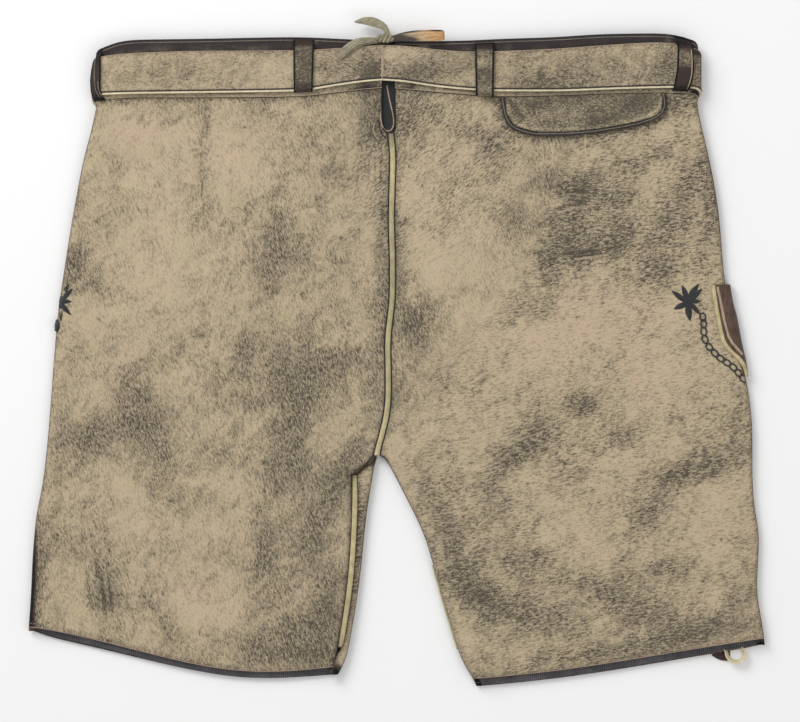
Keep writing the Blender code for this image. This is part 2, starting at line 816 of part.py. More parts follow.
def toward(point, other):
    """A point on the side seam, moved half a gap up or down towards the next one."""
    share = GAP / 2 / abs(other[2] - point[2])
    return tuple(mix(a, b, share) for a, b in zip(point, other))


def loop_profile(across):
    """Depth and inner out-value of a belt loop's bends, on the band, over the belt and on the band again."""
    band_top, belt_top = BACK_EDGE["band_top"](across), BACK_EDGE["belt_top"](across)
    belt_low, band_low = BACK_EDGE["belt_low"](across), BACK_EDGE["band_low"](across)
    on_band = BAND_FACE + GAP
    return (
        LoopBend(band_top + 0.5, on_band, 0.0),
        LoopBend(belt_top - 3.5, on_band, -0.7),
        LoopBend(belt_top - 1.1, LOOP_INSIDE, -0.6),
        LoopBend(mix(belt_top, belt_low, 0.5), LOOP_INSIDE + 0.3, 0.0),
        LoopBend(belt_low + 0.9, LOOP_INSIDE, 0.6),
        LoopBend(belt_low + 2.8, on_band, 0.7),
        LoopBend(band_low - 0.1, on_band, 0.0),
    )


def flat_loop(name, left, right, lean=0.0):
    """A belt loop on the back; lean moves its lower end across."""
    sides = ([], [])
    for step in range(7):
        for rows, thick in ((sides[0], LOOP), (sides[1], 0.0)):
            row = []
            for share in shares(3):
                across = mix(left, right, share) + lean * step / 6
                bend = loop_profile(across)[step]
                down = bend.down + (bend.spread if thick else 0.0)
                row.append((across, down, top_level(across, bend.down) + bend.out + thick))
            rows.append(row)
    wall(name, sides[0], sides[1], "suede")


def side_loop(name, side, angles):
    """A belt loop on the side fold."""
    sides = ([], [])
    crest = SIDE_AT[side](WAIST_DOWN) + INTO[side] * SIDE_ROLL
    back, front = loop_profile(crest), front_loop_profile(crest)
    for upper, lower in zip(back, front):
        for rows, thick, spread in ((sides[0], LOOP, upper.spread), (sides[1], 0.0, 0.0)):
            row = []
            for degrees in angles:
                share = ease((90 - degrees) / 180)
                across, height = ring(side, WAIST_DOWN, degrees, upper.out + thick)
                row.append((across, mix(upper.down, lower.down, share) + spread, height))
            rows.append(row)
    wall(name, sides[0], sides[1], "suede")


def front_loop_profile(across):
    """As loop_profile, for the edges on the front."""
    band_top, belt_top = FRONT_EDGE["band_top"](across), FRONT_EDGE["belt_top"](across)
    belt_low, band_low = FRONT_EDGE["belt_low"](across), FRONT_EDGE["band_low"](across)
    downs = (
        band_top + 0.5,
        belt_top - 3.5,
        belt_top - 1.1,
        mix(belt_top, belt_low, 0.5),
        belt_low + 0.9,
        belt_low + 2.8,
        band_low - 0.1,
    )
    return [LoopBend(down, 0.0, 0.0) for down in downs]


def vent_gusset():
    """The piece behind the open vent, on the inner faces of the band and the back panels."""
    sides = ([], [])
    beside_panels = [back_down("left", 1, d) for d in row_depths("left")]
    for down in levels(GUSSET_TOP, GUSSET_END, 14.0, beside_panels):
        narrow = ease((down - VENT_END) / (GUSSET_END - VENT_END + 4))
        half = GUSSET_HALF * (1 - 0.5 * narrow)
        for rows, out in ((sides[0], 0.0), (sides[1], -GUSSET)):
            row = []
            for share in shares(6, -1.0, 1.0):
                across = SEAM_AT(down) + half * share
                row.append((across, down, plain_level(across, down) - LEATHER - GAP + out))
            rows.append(row)
    wall("vent_gusset", sides[0], sides[1], "dark_leather")


# ---------------------------------------------------------------- piping, pockets and laces


def beside(edge, away):
    """A line of plan points moved aside by a distance, to the left of its run as seen from above."""
    moved = []
    for i, (across, down) in enumerate(edge):
        before, after = edge[max(i - 1, 0)], edge[min(i + 1, len(edge) - 1)]
        run = Vector((after[0] - before[0], after[1] - before[1])).normalized()
        moved.append((across - run.y * away, down + run.x * away))
    return moved


def piping(name, path, width, thick, base, level, paint="piping"):
    """A strip with a rounded top along plan points; base is its underside's height above the level."""
    outside, inside = [], []
    for i, (across, down) in enumerate(path):
        before, after = path[max(i - 1, 0)], path[min(i + 1, len(path) - 1)]
        run = Vector((after[0] - before[0], after[1] - before[1])).normalized()
        aside = (run.y, -run.x)
        high_row, low_row = [], []
        for share, rise in PIPING_ROUND:
            x = across + aside[0] * share * width / 2
            y = down + aside[1] * share * width / 2
            ground = level(x, y) + base
            high_row.append((x, y, ground + thick * rise))
            low_row.append((x, y, ground))
        outside.append(high_row)
        inside.append(low_row)
    wall(name, outside, inside, paint)


def seam_piping(name, side, first, last, middle_at, level):
    """A piping caught between two panels, with a row wherever they have one."""
    outside, inside = [], []
    downs = [back_down(side, 1, d) for d in row_depths(side)]
    for down in [first] + [down for down in downs if first < down <= last]:
        high_row, low_row = [], []
        for share, rise in PIPING_ROUND:
            across = middle_at(down) + share * PIPING / 2
            ground = level(across, down) + PIPING_PROUD - PIPING_THICK
            high_row.append((across, down, ground + PIPING_THICK * rise))
            low_row.append((across, down, ground))
        outside.append(high_row)
        inside.append(low_row)
    wall(name, outside, inside, "piping")


def seam_pipings():
    """The pipings of the centre back seam and of both inner leg seams."""
    vent_low = VENT_END + VENT_HALF + GAP
    seam_piping("piping_centre_back", "left", vent_low, CROTCH_DOWN, SEAM_AT, top_level)

    def left_middle(down):
        return LEFT_EDGE_AT(down) + GAP + PIPING / 2

    seam_piping("piping_inseam_left", "left", PIPED_FROM, PIPED_TO, left_middle, plain_level)
    points = []
    for down in [back_down("right", 1, d) for d in row_depths("right")]:
        if CORD_START < down < CORD_END:
            fold = RIGHT_FOLD_AT(down)
            points.append((fold + CORD_SINK, down, top_level(fold + INNER_ROLL, down) / 2))
    cord("piping_inseam_right", points, CORD_RADIUS, "piping")


def flap_point(share, depth):
    """Plan point of the pocket flap: share runs from left to right, depth from its top to its lower edge."""
    left, right = FLAP_LEFT_AT(depth), FLAP_RIGHT_AT(depth)
    top = BACK_EDGE["band_low"](mix(left, right, share)) + 2 * GAP
    low = FLAP_LOW_AT(mix(FLAP_LEFT_AT(1), FLAP_RIGHT_AT(1), share))
    return mix(left, right, share), mix(top, low, depth)


def pocket_flap():
    """The rear pocket's flap, on the right back panel, with piping round its free edges."""
    sides = ([], [])
    for depth in shares(4):
        for rows, out in ((sides[0], FLAP), (sides[1], 0.0)):
            row = []
            for share in shares(14):
                across, down = flap_point(share, depth)
                row.append((across, down, top_level(across, down) + GAP + out))
            rows.append(row)
    wall("pocket_flap", sides[0], sides[1], "suede")
    edge = [flap_point(0, depth) for depth in shares(4)]
    edge += [flap_point(share, 1) for share in shares(14)[1:]]
    edge += [flap_point(1, depth) for depth in shares(4)[-2::-1]]
    path = beside(edge, FLAP_RIM / 2 + GAP)
    piping("pocket_flap_piping", path, FLAP_RIM, FLAP_RIM_THICK, GAP, top_level, "suede")


def knife_pocket():
    """A pocket bag over the right side seam, standing off from the fold, with a piped edge towards the back."""
    sides, edge = ([], []), []
    for down in levels(KNIFE_POCKET[0].down, KNIFE_POCKET[-1].down, 8.0, ()):
        fold = SIDE_AT["right"](down)
        bulge = max(GAP, OUTSIDE_AT(down) - fold - GAP - BAG)
        welt = min(WELT_AT(down), fold - SIDE_ROLL - 1.0)
        edge.append((welt, down))
        for rows, thick in ((sides[0], BAG), (sides[1], 0.0)):
            row = []
            for degrees in (-12, 0, 20, 40, 65):
                stand = bulge * math.cos(math.radians(degrees))
                across, height = ring("right", down, degrees, GAP + thick + stand)
                row.append((across, down, height))
            for share in shares(3):
                across = mix(fold - SIDE_ROLL, welt, share)
                row.append((across, down, top_level(across, down) + GAP + thick))
            rows.append(row)
    wall("knife_pocket", sides[0], sides[1], "dark_leather")
    path = beside(edge, WELT_WIDTH / 2 + GAP)
    piping("knife_pocket_piping", path, WELT_WIDTH, WELT_THICK, GAP, top_level)


def run_in_plan(path, i):
    """The direction of a line of points at one of them, in across and down."""
    before, after = path[max(i - 1, 0)], path[min(i + 1, len(path) - 1)]
    return Vector((after[0] - before[0], after[1] - before[1])).normalized()


def lying_thong(name, path):
    """A thong along points, lying with its width level."""
    outside, inside = [], []
    for i, (across, down, height, wide) in enumerate(path):
        run = run_in_plan(path, i)
        high_row, low_row = [], []
        for share in (-1, 0, 1):
            x = across + run.y * share * wide / 2
            y = down - run.x * share * wide / 2
            high_row.append((x, y, height + THONG * (1.0 if share == 0 else 0.8)))
            low_row.append((x, y, height))
        outside.append(high_row)
        inside.append(low_row)
    wall(name, outside, inside, "thong")


def folded_thong(name, path):
    """A thong along points that folds back over itself, its width running down the garment."""
    outside, inside = [], []
    for i, (across, down, height, wide) in enumerate(path):
        before, after = path[max(i - 1, 0)], path[min(i + 1, len(path) - 1)]
        run = Vector((after[0] - before[0], after[2] - before[2])).normalized()
        for rows, shift in ((outside, THONG / 2), (inside, -THONG / 2)):
            x, z = across + run.y * shift, height - run.x * shift
            rows.append([(x, down + share * wide / 2, z) for share in (-1, 0, 1)])
    wall(name, outside, inside, "thong")


def leaning_band(name, path, lean, thick):
    """A band standing along plan points, its upper edge leaning out from the inside of the bend."""
    outside, inside = [], []
    for i, (across, down, height, wide) in enumerate(path):
        run = run_in_plan(path, i)
        out = Vector((-run.y, run.x))
        for rows, shift in ((outside, thick), (inside, 0.0)):
            rows.append([])
            for share in (0, 0.5, 1):
                aside = shift + lean * share
                rows[-1].append((across + out.x * aside, down + out.y * aside, height + wide * share))
    wall(name, outside, inside, "piping")


def curved(rows, count):
    """Points through a short table's rows, evenly spread over its smooth curve."""
    numbered = [Station(i, *row) for i, row in enumerate(rows)]
    runs = [smooth(numbered, "order", name) for name in Bend._fields]
    last = len(rows) - 1
    return [tuple(run(last * share) for run in runs) for share in shares(count)]


def back_lace():
    """The lace tied at the top of the vent."""
    lying_thong("lace_tail_upper", curved(LACE_TAIL_UPPER, 14))
    lying_thong("lace_tail_lower", curved(LACE_TAIL_LOWER, 12))
    folded_thong("lace_loop", curved(LACE_LOOP, 30))
    built = bmesh.new()
    bmesh.ops.create_uvsphere(built, u_segments=14, v_segments=8, radius=1.0)
    for vert in built.verts:
        x, y, z = vert.co
        rounded = [math.copysign(abs(c) ** 0.75, c) for c in (x, y, z)]
        half_across, half_down, half_high = KNOT.half_across, KNOT.half_down, KNOT.half_high
        vert.co = place(
            KNOT.across + rounded[0] * half_across,
            KNOT.down + rounded[1] * half_down,
            KNOT.height + rounded[2] * half_high,
        )
    closed_mesh("lace_knot", built, "thong")


def front_hem_at(across):
    """Depth of the right front's hem edge at a place across."""
    edge = front_row("right", row_depths("right")[-1], FRONT_OVERHANG, 0.0)
    outer, inner = next((a, b) for a, b in zip(edge, edge[1:]) if b[0] <= across <= a[0])
    return mix(outer[1], inner[1], (outer[0] - across) / (outer[0] - inner[0]))


def hem_lace():
    """The loop and the dark end of the lace that runs in the right front's hem."""
    leaning_band("hem_lace_loop", curved(HEM_LACE_LOOP, 20), HEM_LACE_LEAN, HEM_LACE)
    low_at = smooth(HEM_TAB_LOW, "across", "down")
    outside, inside = [], []
    for share in shares(8):
        across = mix(HEM_TAB_LOW[0].across, HEM_TAB_LOW[-1].across, share)
        top, low = front_hem_at(across) + GAP, low_at(across)
        row = [(across, mix(top, low, part)) for part in (0, 0.5, 1)]
        outside.append([(*point, HEM_TAB) for point in row])
        inside.append([(*point, HEM_TAB_LIFT) for point in row])
    wall("hem_lace_end", outside, inside, "dark_leather")


def setup():
    """An empty scene with the collections and the materials."""
    for obj in list(bpy.data.objects):
        bpy.data.objects.remove(obj)
    for name in ("lederhosen", "cutters"):
        collection = bpy.data.collections.new(name)
        bpy.context.scene.collection.children.link(collection)
    for name, paint in PAINTS.items():
        material = bpy.data.materials.new(name)
        material.use_nodes = True
        shader = material.node_tree.nodes["Principled BSDF"]
        shader.inputs["Base Color"].default_value = (*paint.colour, 1)
        shader.inputs["Roughness"].default_value = paint.roughness
        shader.inputs["Metallic"].default_value = paint.metallic


setup()
for half in ("left", "right"):
    back_panel(half)
    front_panel(half)
    hem_facing(half)
    belt_half(half)
    waistband(half, back=True)
    waistband(half, back=False)
vent_gusset()
side_loop("loop_left_side", "left", (78, 50, 25, 0, -25, -40))
flat_loop("loop_left_back", -83, -69.7)
flat_loop("loop_right_back", 65.6, 80.4)
flat_loop("loop_right_side", 229.5, 243.5, lean=-2.5)
seam_pipings()
pocket_flap()
knife_pocket()
back_lace()
hem_lace()
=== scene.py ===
"""The look of short suede breeches with their belt, laid flat on the front so that the back is up.

Plan positions are in the part's drafting millimetres: "across" to the right, "down" from the waist towards
the hems. The leather pieces are finer copies of their own solids, most with creases laid over them, and
attributes on their points tell the materials how dark, pale, brushed or burnished the leather is there,
and where shade is painted on it.
"""

import math
from collections import namedtuple

import bmesh
import bpy
import numpy as np
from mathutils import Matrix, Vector, noise
from mathutils.bvhtree import BVHTree
from mathutils.kdtree import KDTree


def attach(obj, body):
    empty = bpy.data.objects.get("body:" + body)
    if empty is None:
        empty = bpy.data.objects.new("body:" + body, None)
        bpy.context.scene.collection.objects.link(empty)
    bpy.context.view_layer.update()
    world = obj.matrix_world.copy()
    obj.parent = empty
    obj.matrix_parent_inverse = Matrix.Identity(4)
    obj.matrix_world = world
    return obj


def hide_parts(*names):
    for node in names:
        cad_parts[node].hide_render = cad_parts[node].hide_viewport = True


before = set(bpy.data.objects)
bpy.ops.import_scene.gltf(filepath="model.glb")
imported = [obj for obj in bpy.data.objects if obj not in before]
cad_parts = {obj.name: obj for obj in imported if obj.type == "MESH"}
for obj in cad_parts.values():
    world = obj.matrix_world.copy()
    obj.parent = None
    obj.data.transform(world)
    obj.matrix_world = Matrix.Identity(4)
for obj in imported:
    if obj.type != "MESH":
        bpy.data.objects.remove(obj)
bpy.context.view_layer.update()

# The part's drafting frame
MM = 0.001
MIDDLE_ACROSS = 0.675
MIDDLE_DOWN = 270.652

# The camera looks straight down
VIEW_ACROSS = 3.32
VIEW_DOWN = 271.41
VIEW_WIDTH = 0.664
CAMERA_HEIGHT = 4.0
SENSOR = 36.0

# Angles between faces above which an edge is a cut edge of the leather
SHARP = math.radians(42)
# The least cosine between a border's direction and the side that it is taken to face
FACING = 0.45

# ---------------------------------------------------------------- tables


def table(kind, *rows):
    """A short table's rows, under the kind's named columns."""
    return tuple(map(kind._make, rows))


# The lace's thongs: middle, underside (the loop: mid-thickness; the hem's band: foot) and width
Bend = namedtuple("Bend", "across down height wide")
LACE_TAIL_UPPER = table(
    Bend,
    (-6.6, 4.2, 12.6, 4.6), (-7.2, 1.2, 12.6, 4.8), (-7.6, -1.2, 12.6, 4.6), (-9.6, -4.6, 12.0, 5.4),
    (-14.5, -7.6, 10.8, 7.0), (-20, -9.5, 9.6, 7.8), (-26.6, -10.3, 8.6, 6.0), (-31.2, -9.8, 8.0, 3.2),
    (-34.4, -9.4, 7.8, 1.0),
)
LACE_TAIL_LOWER = table(
    Bend,
    (-14.4, 5.6, 11.8, 4.0), (-17.4, 6.2, 11.8, 4.6), (-23.2, 6.6, 12.6, 6.0), (-29.9, 7.6, 13.4, 7.0),
    (-36.5, 10.8, 13.5, 7.8), (-42.3, 15.4, 13.4, 7.6), (-47.4, 20.8, 13.3, 5.2),
)
LACE_LOOP = table(
    Bend,
    (-6.0, 5.0, 11.3, 3.6), (-3.4, 4.8, 11.3, 4.8), (8, 2.4, 11.2, 6.8), (22, 1.2, 11.2, 7.8),
    (35, 1.1, 11.3, 7.8), (38.2, 1.4, 11.7, 7.8), (39.6, 1.9, 12.9, 7.8), (38.2, 2.5, 14.2, 7.8),
    (35, 2.8, 14.6, 7.8), (22, 2.9, 14.7, 7.8), (8, 3.6, 14.5, 6.6), (-3.4, 5.0, 14.1, 4.6),
    (-6.0, 5.2, 13.9, 3.6),
)
HEM_LACE_LOOP = table(
    Bend,
    (268.6, 507.2, 1.9, 0.9), (272.6, 509.6, 1.9, 1.2), (275.8, 513.0, 1.4, 4.2), (276.6, 515.4, 1.4, 4.2),
    (279, 518.2, 1.3, 4.2), (282.4, 519.1, 1.2, 4.2), (285.4, 518.2, 1.2, 4.2), (286.8, 515.6, 1.2, 4.2),
    (286.9, 513, 1.2, 4.2), (286.0, 509.0, 1.9, 1.2), (284.4, 504.8, 1.9, 0.9),
)
# Thickness of the thongs, and the widths of the cords as they are declared
THONG = 1.4
HEM_LACE_WIDTH = 4.2
HEM_LACE_LEAN = 2.8
HEM_LACE = 1.2

# The waist: where the belt's and the waistband's lower edges lie
Waist = namedtuple("Waist", "across belt_low band_low")
WAIST_BACK = table(
    Waist,
    (-246, 51.0, 55.6), (-238, 50.8, 54.6), (-222, 50.2, 53.1), (-160, 49.4, 53.1), (-83, 48.1, 52.3),
    (-40, 42, 47.8), (-11, 39, 45.2), (4, 39.8, 45.8), (30, 44, 48.2), (66, 47.3, 51), (85, 48.1, 52.3),
    (130, 48.1, 51.6), (176, 46.5, 49.8), (222, 45.2, 49), (238, 45, 49.4), (245, 45.5, 50),
)

# Creases of the leather: middle, direction in degrees, half length, half width, height and bow
Crease = namedtuple("Crease", "across down turn long wide high bow")
CREASES = table(
    Crease,
    (-20, 78, 62, 13, 2.2, 0.7, 4), (-24.5, 80, 62, 14, 2.2, 0.6, 5), (-29, 82, 62, 13, 2.6, 0.4, 5),
    (-17, 91, 8, 11, 2.4, -0.5, -2), (14, 92, 48, 26, 4.5, 0.7, 3), (26, 84, 44, 22, 5, -0.5, 3),
    (-58, 54, -4, 44, 2.6, 0.7, 0), (-70, 61, -2, 30, 3.0, -0.4, 0), (-140, 60, 3, 40, 4.0, 0.35, 0),
    (170, 118, 16, 30, 7, -0.5, 3), (146, 184, 14, 26, 2.6, 0.9, 3), (158, 190, 12, 24, 2.6, -0.8, 3),
    (128, 199, 20, 24, 3.4, 0.6, 2), (118, 172, 24, 40, 8, -0.4, 6), (60, 190, 40, 46, 7, 0.45, 6),
    (196, 150, 8, 34, 5, 0.45, 4), (214, 205, 4, 30, 4.5, -0.4, 2), (-36, 336, -36, 34, 5, -0.7, 4),
    (-52, 352, -18, 38, 5.5, 0.7, 4), (-44, 300, -60, 36, 5, 0.55, -5), (-74, 378, 2, 44, 6, -0.5, 3),
    (10, 322, 58, 40, 5, 0.6, 4), (24, 352, 40, 42, 5.5, -0.6, 3), (52, 372, 26, 46, 6, 0.55, 3),
    (64, 408, 18, 44, 6, -0.4, 3), (-150, 330, 82, 60, 12, -0.4, 8), (-212, 430, 86, 56, 5, 0.4, 3),
    (-200, 444, 84, 52, 5, -0.35, 3), (-186, 450, 80, 46, 5, 0.3, 3), (-138, 478, 58, 40, 6, 0.35, 3),
    (110, 452, -24, 70, 11, -0.6, 6), (128, 430, -22, 60, 9, 0.5, 6), (232, 438, 10, 44, 5, 0.4, 3),
    (222, 474, 6, 50, 5, -0.4, 2), (240, 300, 74, 40, 6, 0.4, 4), (180, 330, 70, 50, 10, -0.4, 6),
    (-250, 170, 74, 60, 9, 0.5, 5), (-110, 250, 60, 60, 14, -0.4, 8), (-160, 125, 88, 36, 1.6, 0.35, 0),
    (-52, 452, 78, 44, 6, 0.4, 3), (66, 470, 66, 44, 7, 0.4, 3),
)
UNDER_CREASES = table(
    Crease,
    (-120, 150, 30, 60, 9, 0.6, 5), (110, 170, -26, 60, 9, 0.6, 5), (-60, 318, 44, 40, 7, 0.8, 4),
    (46, 322, -40, 40, 7, 0.8, 4), (-90, 360, 14, 50, 7, 0.6, 3), (86, 366, -16, 50, 7, 0.6, 3),
    (-210, 420, 80, 60, 9, 0.5, 4), (206, 430, -78, 60, 9, 0.5, 4), (-150, 470, 6, 70, 8, 0.5, 4),
    (150, 480, -8, 70, 8, 0.5, 4),
)

# Darker and pinker areas of the suede: middle, direction, half length, half width and strength
Patch = namedtuple("Patch", "across down turn long wide strength")
DARK = table(
    Patch,
    (-88, 337, 80, 50, 20.8, 0.75), (-71, 279, 10, 58, 24.9, 0.45), (-42, 362, 60, 29, 11.6, 0.8),
    (-67, 420, 80, 50, 16.6, 0.55), (-109, 437, 80, 42, 14.9, 0.35), (-254, 334, 0, 20, 17.4, 0.6),
    (-212, 329, 20, 29, 14.9, 0.3), (-266, 189, 90, 22, 14.9, 0.45), (-246, 208, 0, 17, 12.4, 0.3),
    (-160, 96, 88, 37, 8.3, 0.3), (-103, 175, 88, 37, 10, 0.4), (-76, 183, 70, 50, 34.9, 0.22),
    (-46, 105, 0, 25, 24.9, 0.2), (-125, 258, 40, 22, 12.4, 0.3), (-11, 179, 89, 108, 7.5, 0.4),
    (-18, 73, 80, 25, 11.6, 0.85), (-80, 515, 3, 58, 10, 0.7), (-55, 470, 80, 37, 12.4, 0.6),
    (-129, 503, 0, 50, 11.6, 0.35), (-237, 471, 0, 21, 10, 0.35), (-75, 488, 20, 33, 16.6, 0.4),
    (-279, 370, 88, 50, 6.6, 0.25), (-271, 129, 75, 42, 6.6, 0.3), (7, 71, 60, 22, 14.9, 0.7),
    (3, 171, 88, 25, 7.5, 0.5), (16, 242, 80, 18, 14.9, 0.7), (3, 212, 88, 21, 9.1, 0.4),
    (61, 81, -20, 35, 10, 0.35), (82, 92, 0, 17, 16.6, 0.3), (140, 125, -10, 25, 11.6, 0.7),
    (144, 159, 60, 33, 18.3, 0.75), (169, 176, 10, 30, 11.6, 0.7), (128, 196, 60, 29, 16.6, 0.4),
    (163, 134, 0, 22, 12.4, 0.4), (186, 148, 80, 29, 12.4, 0.4), (99, 150, 80, 21, 11.6, 0.3),
    (223, 168, 70, 33, 14.9, 0.6), (244, 121, 60, 29, 11.6, 0.6), (260, 154, 80, 33, 7.5, 0.6),
    (219, 198, 0, 17, 12.4, 0.4), (207, 105, 15, 33, 8.3, 0.3), (120, 233, 0, 22, 10, 0.25),
    (153, 308, 0, 12, 10.8, 0.8), (190, 334, 0, 12, 9.1, 0.5), (111, 337, 35, 38, 16.6, 0.45),
    (136, 362, 0, 22, 16.6, 0.25), (86, 364, 60, 30, 12.4, 0.35), (244, 362, 15, 42, 10.8, 0.65),
    (211, 395, 60, 22, 11.6, 0.5), (45, 420, -65, 68, 11.6, 0.55), (70, 466, -35, 38, 13.3, 0.8),
    (111, 437, 0, 22, 14.9, 0.35), (120, 483, -20, 42, 11.6, 0.55), (86, 403, 40, 25, 20.8, 0.3),
    (169, 461, -20, 33, 10, 0.45), (203, 483, -10, 33, 13.3, 0.55), (252, 496, 10, 42, 8.3, 0.75),
    (219, 445, 10, 27, 8.3, 0.3), (287, 470, 80, 18, 11.6, 0.3), (3, 295, 70, 25, 13.3, 0.3),
    (169, 513, 8, 75, 6.6, 0.5), (284, 320, 85, 28, 8.3, 0.3), (-204, 337, -70, 62, 20, 0.4),
    (-214, 300, -66, 30, 12, 0.25), (-241, 455, -82, 42, 12, 0.5), (-190, 488, -50, 22, 12, 0.45),
    (-297.5, 455, 88, 55, 6, 0.7), (-23, 34, 85, 17, 8.3, 1.1), (7, 35, 0, 18, 8.3, 0.8),
    (37, 28, 10, 23, 10, 0.5), (-51, 30, 0, 13, 11.6, 0.3), (153, 32, 0, 75, 18.3, 0.42),
    (124, 42, 0, 25, 5.8, 0.5), (221, 28, 80, 15, 8.3, 0.7), (120, 35, 84, 6, 2.5, 0.9),
    (-188, 30, 15, 28, 11.6, 0.3), (-15.6, 30, 90, 9, 4, 0.9), (251, 28, 88, 20, 5, 0.9),
    # The last two rows are painted shade below the belt on the right, beside the pocket flap
    (241, 60, 0, 14, 8, 0.5), (262, 110, 76, 36, 7, 0.5),
)
PALE = table(
    Patch,
    (-188, 96, 0, 50, 33.2, 0.6), (-196, 188, 0, 43, 41.5, 0.7), (-229, 387, 70, 42, 24.9, 0.6),
    (-169, 470, 0, 46, 29.9, 1.0), (-129, 96, 0, 33, 24.9, 0.4), (-231, 73, 0, 25, 21.6, 0.5),
    (-237, 262, 0, 35, 33.2, 0.4), (-144, 420, 70, 33, 24.9, 0.4), (45, 96, 0, 22, 21.6, 0.5),
    (37, 171, 0, 25, 33.2, 0.4), (169, 239, 0, 51, 31.5, 1.15), (120, 258, 0, 35, 28.2, 1.0),
    (219, 287, 0, 42, 24.9, 0.9), (169, 372, 0, 50, 28.2, 0.5), (265, 412, 80, 37, 19.9, 0.5),
    (161, 420, 0, 42, 16.6, 0.4), (61, 511, 0, 18, 14.9, 0.5), (70, 229, 0, 30, 24.9, 0.4),
    (203, 221, 0, 27, 16.6, 0.5), (20, 118, 40, 33, 13.3, 0.5), (-163, 23, 0, 50, 10, 0.4),
    (-71, 9, 0, 5, 3.3, 0.6), (24, 9, 0, 7, 3.3, 0.5), (226, 3, 0, 4, 3.3, 0.6),
    (-236, 9.6, 60, 4, 1.0, 0.5),
)
# Where the nap was brushed flat across (above 0) or slantwise (below 0); elsewhere it runs up and down
BRUSHED = table(
    Patch,
    (150, 430, 0, 190, 150, 1.0), (200, 250, 0, 150, 110, 1.0), (62, 118, 30, 95, 80, -2.0),
    (225, 130, 0, 125, 100, 2.2),
)

# Where edges and folds are darkest: burnished edges, and painted shade at the left leg's side fold and just
# below the belt
BURNISHED_AND_SHADED = table(
    Patch,
    (-302.5, 452, 88.5, 62, 4.4, 2.0), (-300, 498, 70, 12, 7, 0.5), (249.5, 15.0, -20, 7, 4.5, 1.4),
    (-254, 60, 80, 30, 2.6, 0.5), (-20, 48, 20, 7, 3, 0.35), (20, 48, 0, 60, 5, 0.25),
    (79, 55, 4, 14, 4, 0.45), (-12, 85, 80, 12, 4, 0.3),
)
# The darkest places on the front, at the hems' corners that show beyond the back
FRONT_DARKEST = table(
    Patch,
    (69, 537, 0, 6, 7, 1.8), (303, 508, 0, 6, 7, 1.8), (-301, 499, 0, 8, 5, 1.8), (-50, 530, 0, 6, 9, 1.6),
)
WAIST_CALM = 62.0

# Fine lines on the back's suede, dark (above 0) or pale: sharp creases, with painted shade and highlight
# along them, darts and scratches
STREAKS = table(
    Patch,
    (154, 181.6, 8, 27, 3.4, 0.5), (158, 184.0, 8, 22, 1.3, 0.75), (156, 186.0, 8, 21, 1.5, -0.5),
    (184, 176.5, 14, 14, 2.0, 0.35), (151, 131, -3, 13, 2.6, 0.45), (151, 134, -3, 12, 1.6, -0.25),
    (-162, 60, 89, 12, 0.9, -0.35), (-163.4, 62, 89, 12, 0.9, 0.25), (-161.5, 100, 88, 36, 1.0, 0.22),
    (-160.8, 130, 87, 12, 1.2, 0.6), (156, 97, 88, 17, 1.0, 0.2), (156.9, 90, 89, 13, 1.0, -1.5),
    (-215, 296, -60, 13, 0.9, 0.45), (-226, 316, -74, 9, 0.9, 0.45), (-200, 340, -62, 15, 0.9, 0.4),
    (-190, 352, -62, 14, 0.8, 0.35), (-236, 386, -70, 24, 0.8, 0.3), (-252, 420, -76, 28, 0.8, 0.3),
    (-222, 450, -70, 30, 0.8, 0.3), (-206, 470, -66, 26, 0.8, 0.3), (-255, 458, -82, 34, 2.6, 0.3),
    (-243, 462, -82, 32, 2.8, 0.38), (-236.5, 466, -83, 28, 2.2, 0.32), (-249, 438, -82, 30, 2.2, 0.25),
    (-220, 478, -70, 20, 2.2, 0.25), (-192, 492, -60, 22, 2.4, 0.3), (-17.5, 112, 88, 20, 1.8, 0.3),
    (-12.5, 116, 88, 20, 2.0, 0.32), (-22, 104, 86, 16, 1.6, 0.22),
)

# The pocket flap's fold marks, darker (above 0) and paler: crease marks, with painted shade and highlight
# along the folds
FLAP_MARKS = table(
    Patch,
    (100, 64, -50, 13, 1.5, 0.7), (105, 62, -50, 13, 2.6, -0.5), (112, 60, 6, 13, 3.0, 0.4),
    (120, 70, 20, 22, 5, -0.5), (150, 67, 30, 14, 8, -0.45), (146, 52, 4, 9, 1.6, 0.8),
    (166, 74, 20, 9, 4, 0.7), (192, 60, 30, 16, 7, 0.35), (212, 66, 50, 8, 5, -0.3),
)
# The flap's rim, from its top left corner round to its top right one
FLAP_LINE = (
    (87.4, 50.2), (88.8, 59.3), (91.4, 70.0), (96.2, 77.0), (105.7, 81.1), (117.4, 83.2), (133.2, 83.2),
    (156.5, 81.9), (175.6, 79.4), (196.7, 75.6), (212.6, 70.8), (220.0, 65.4), (222.4, 59.3), (222.0, 54.0),
    (220.8, 49.4),
)

WAIST_FRONT = table(
    Waist,
    (-246, 61.8, 66.1), (-206, 61.5, 65.6), (206, 55.4, 59.4), (245, 55.4, 59),
)

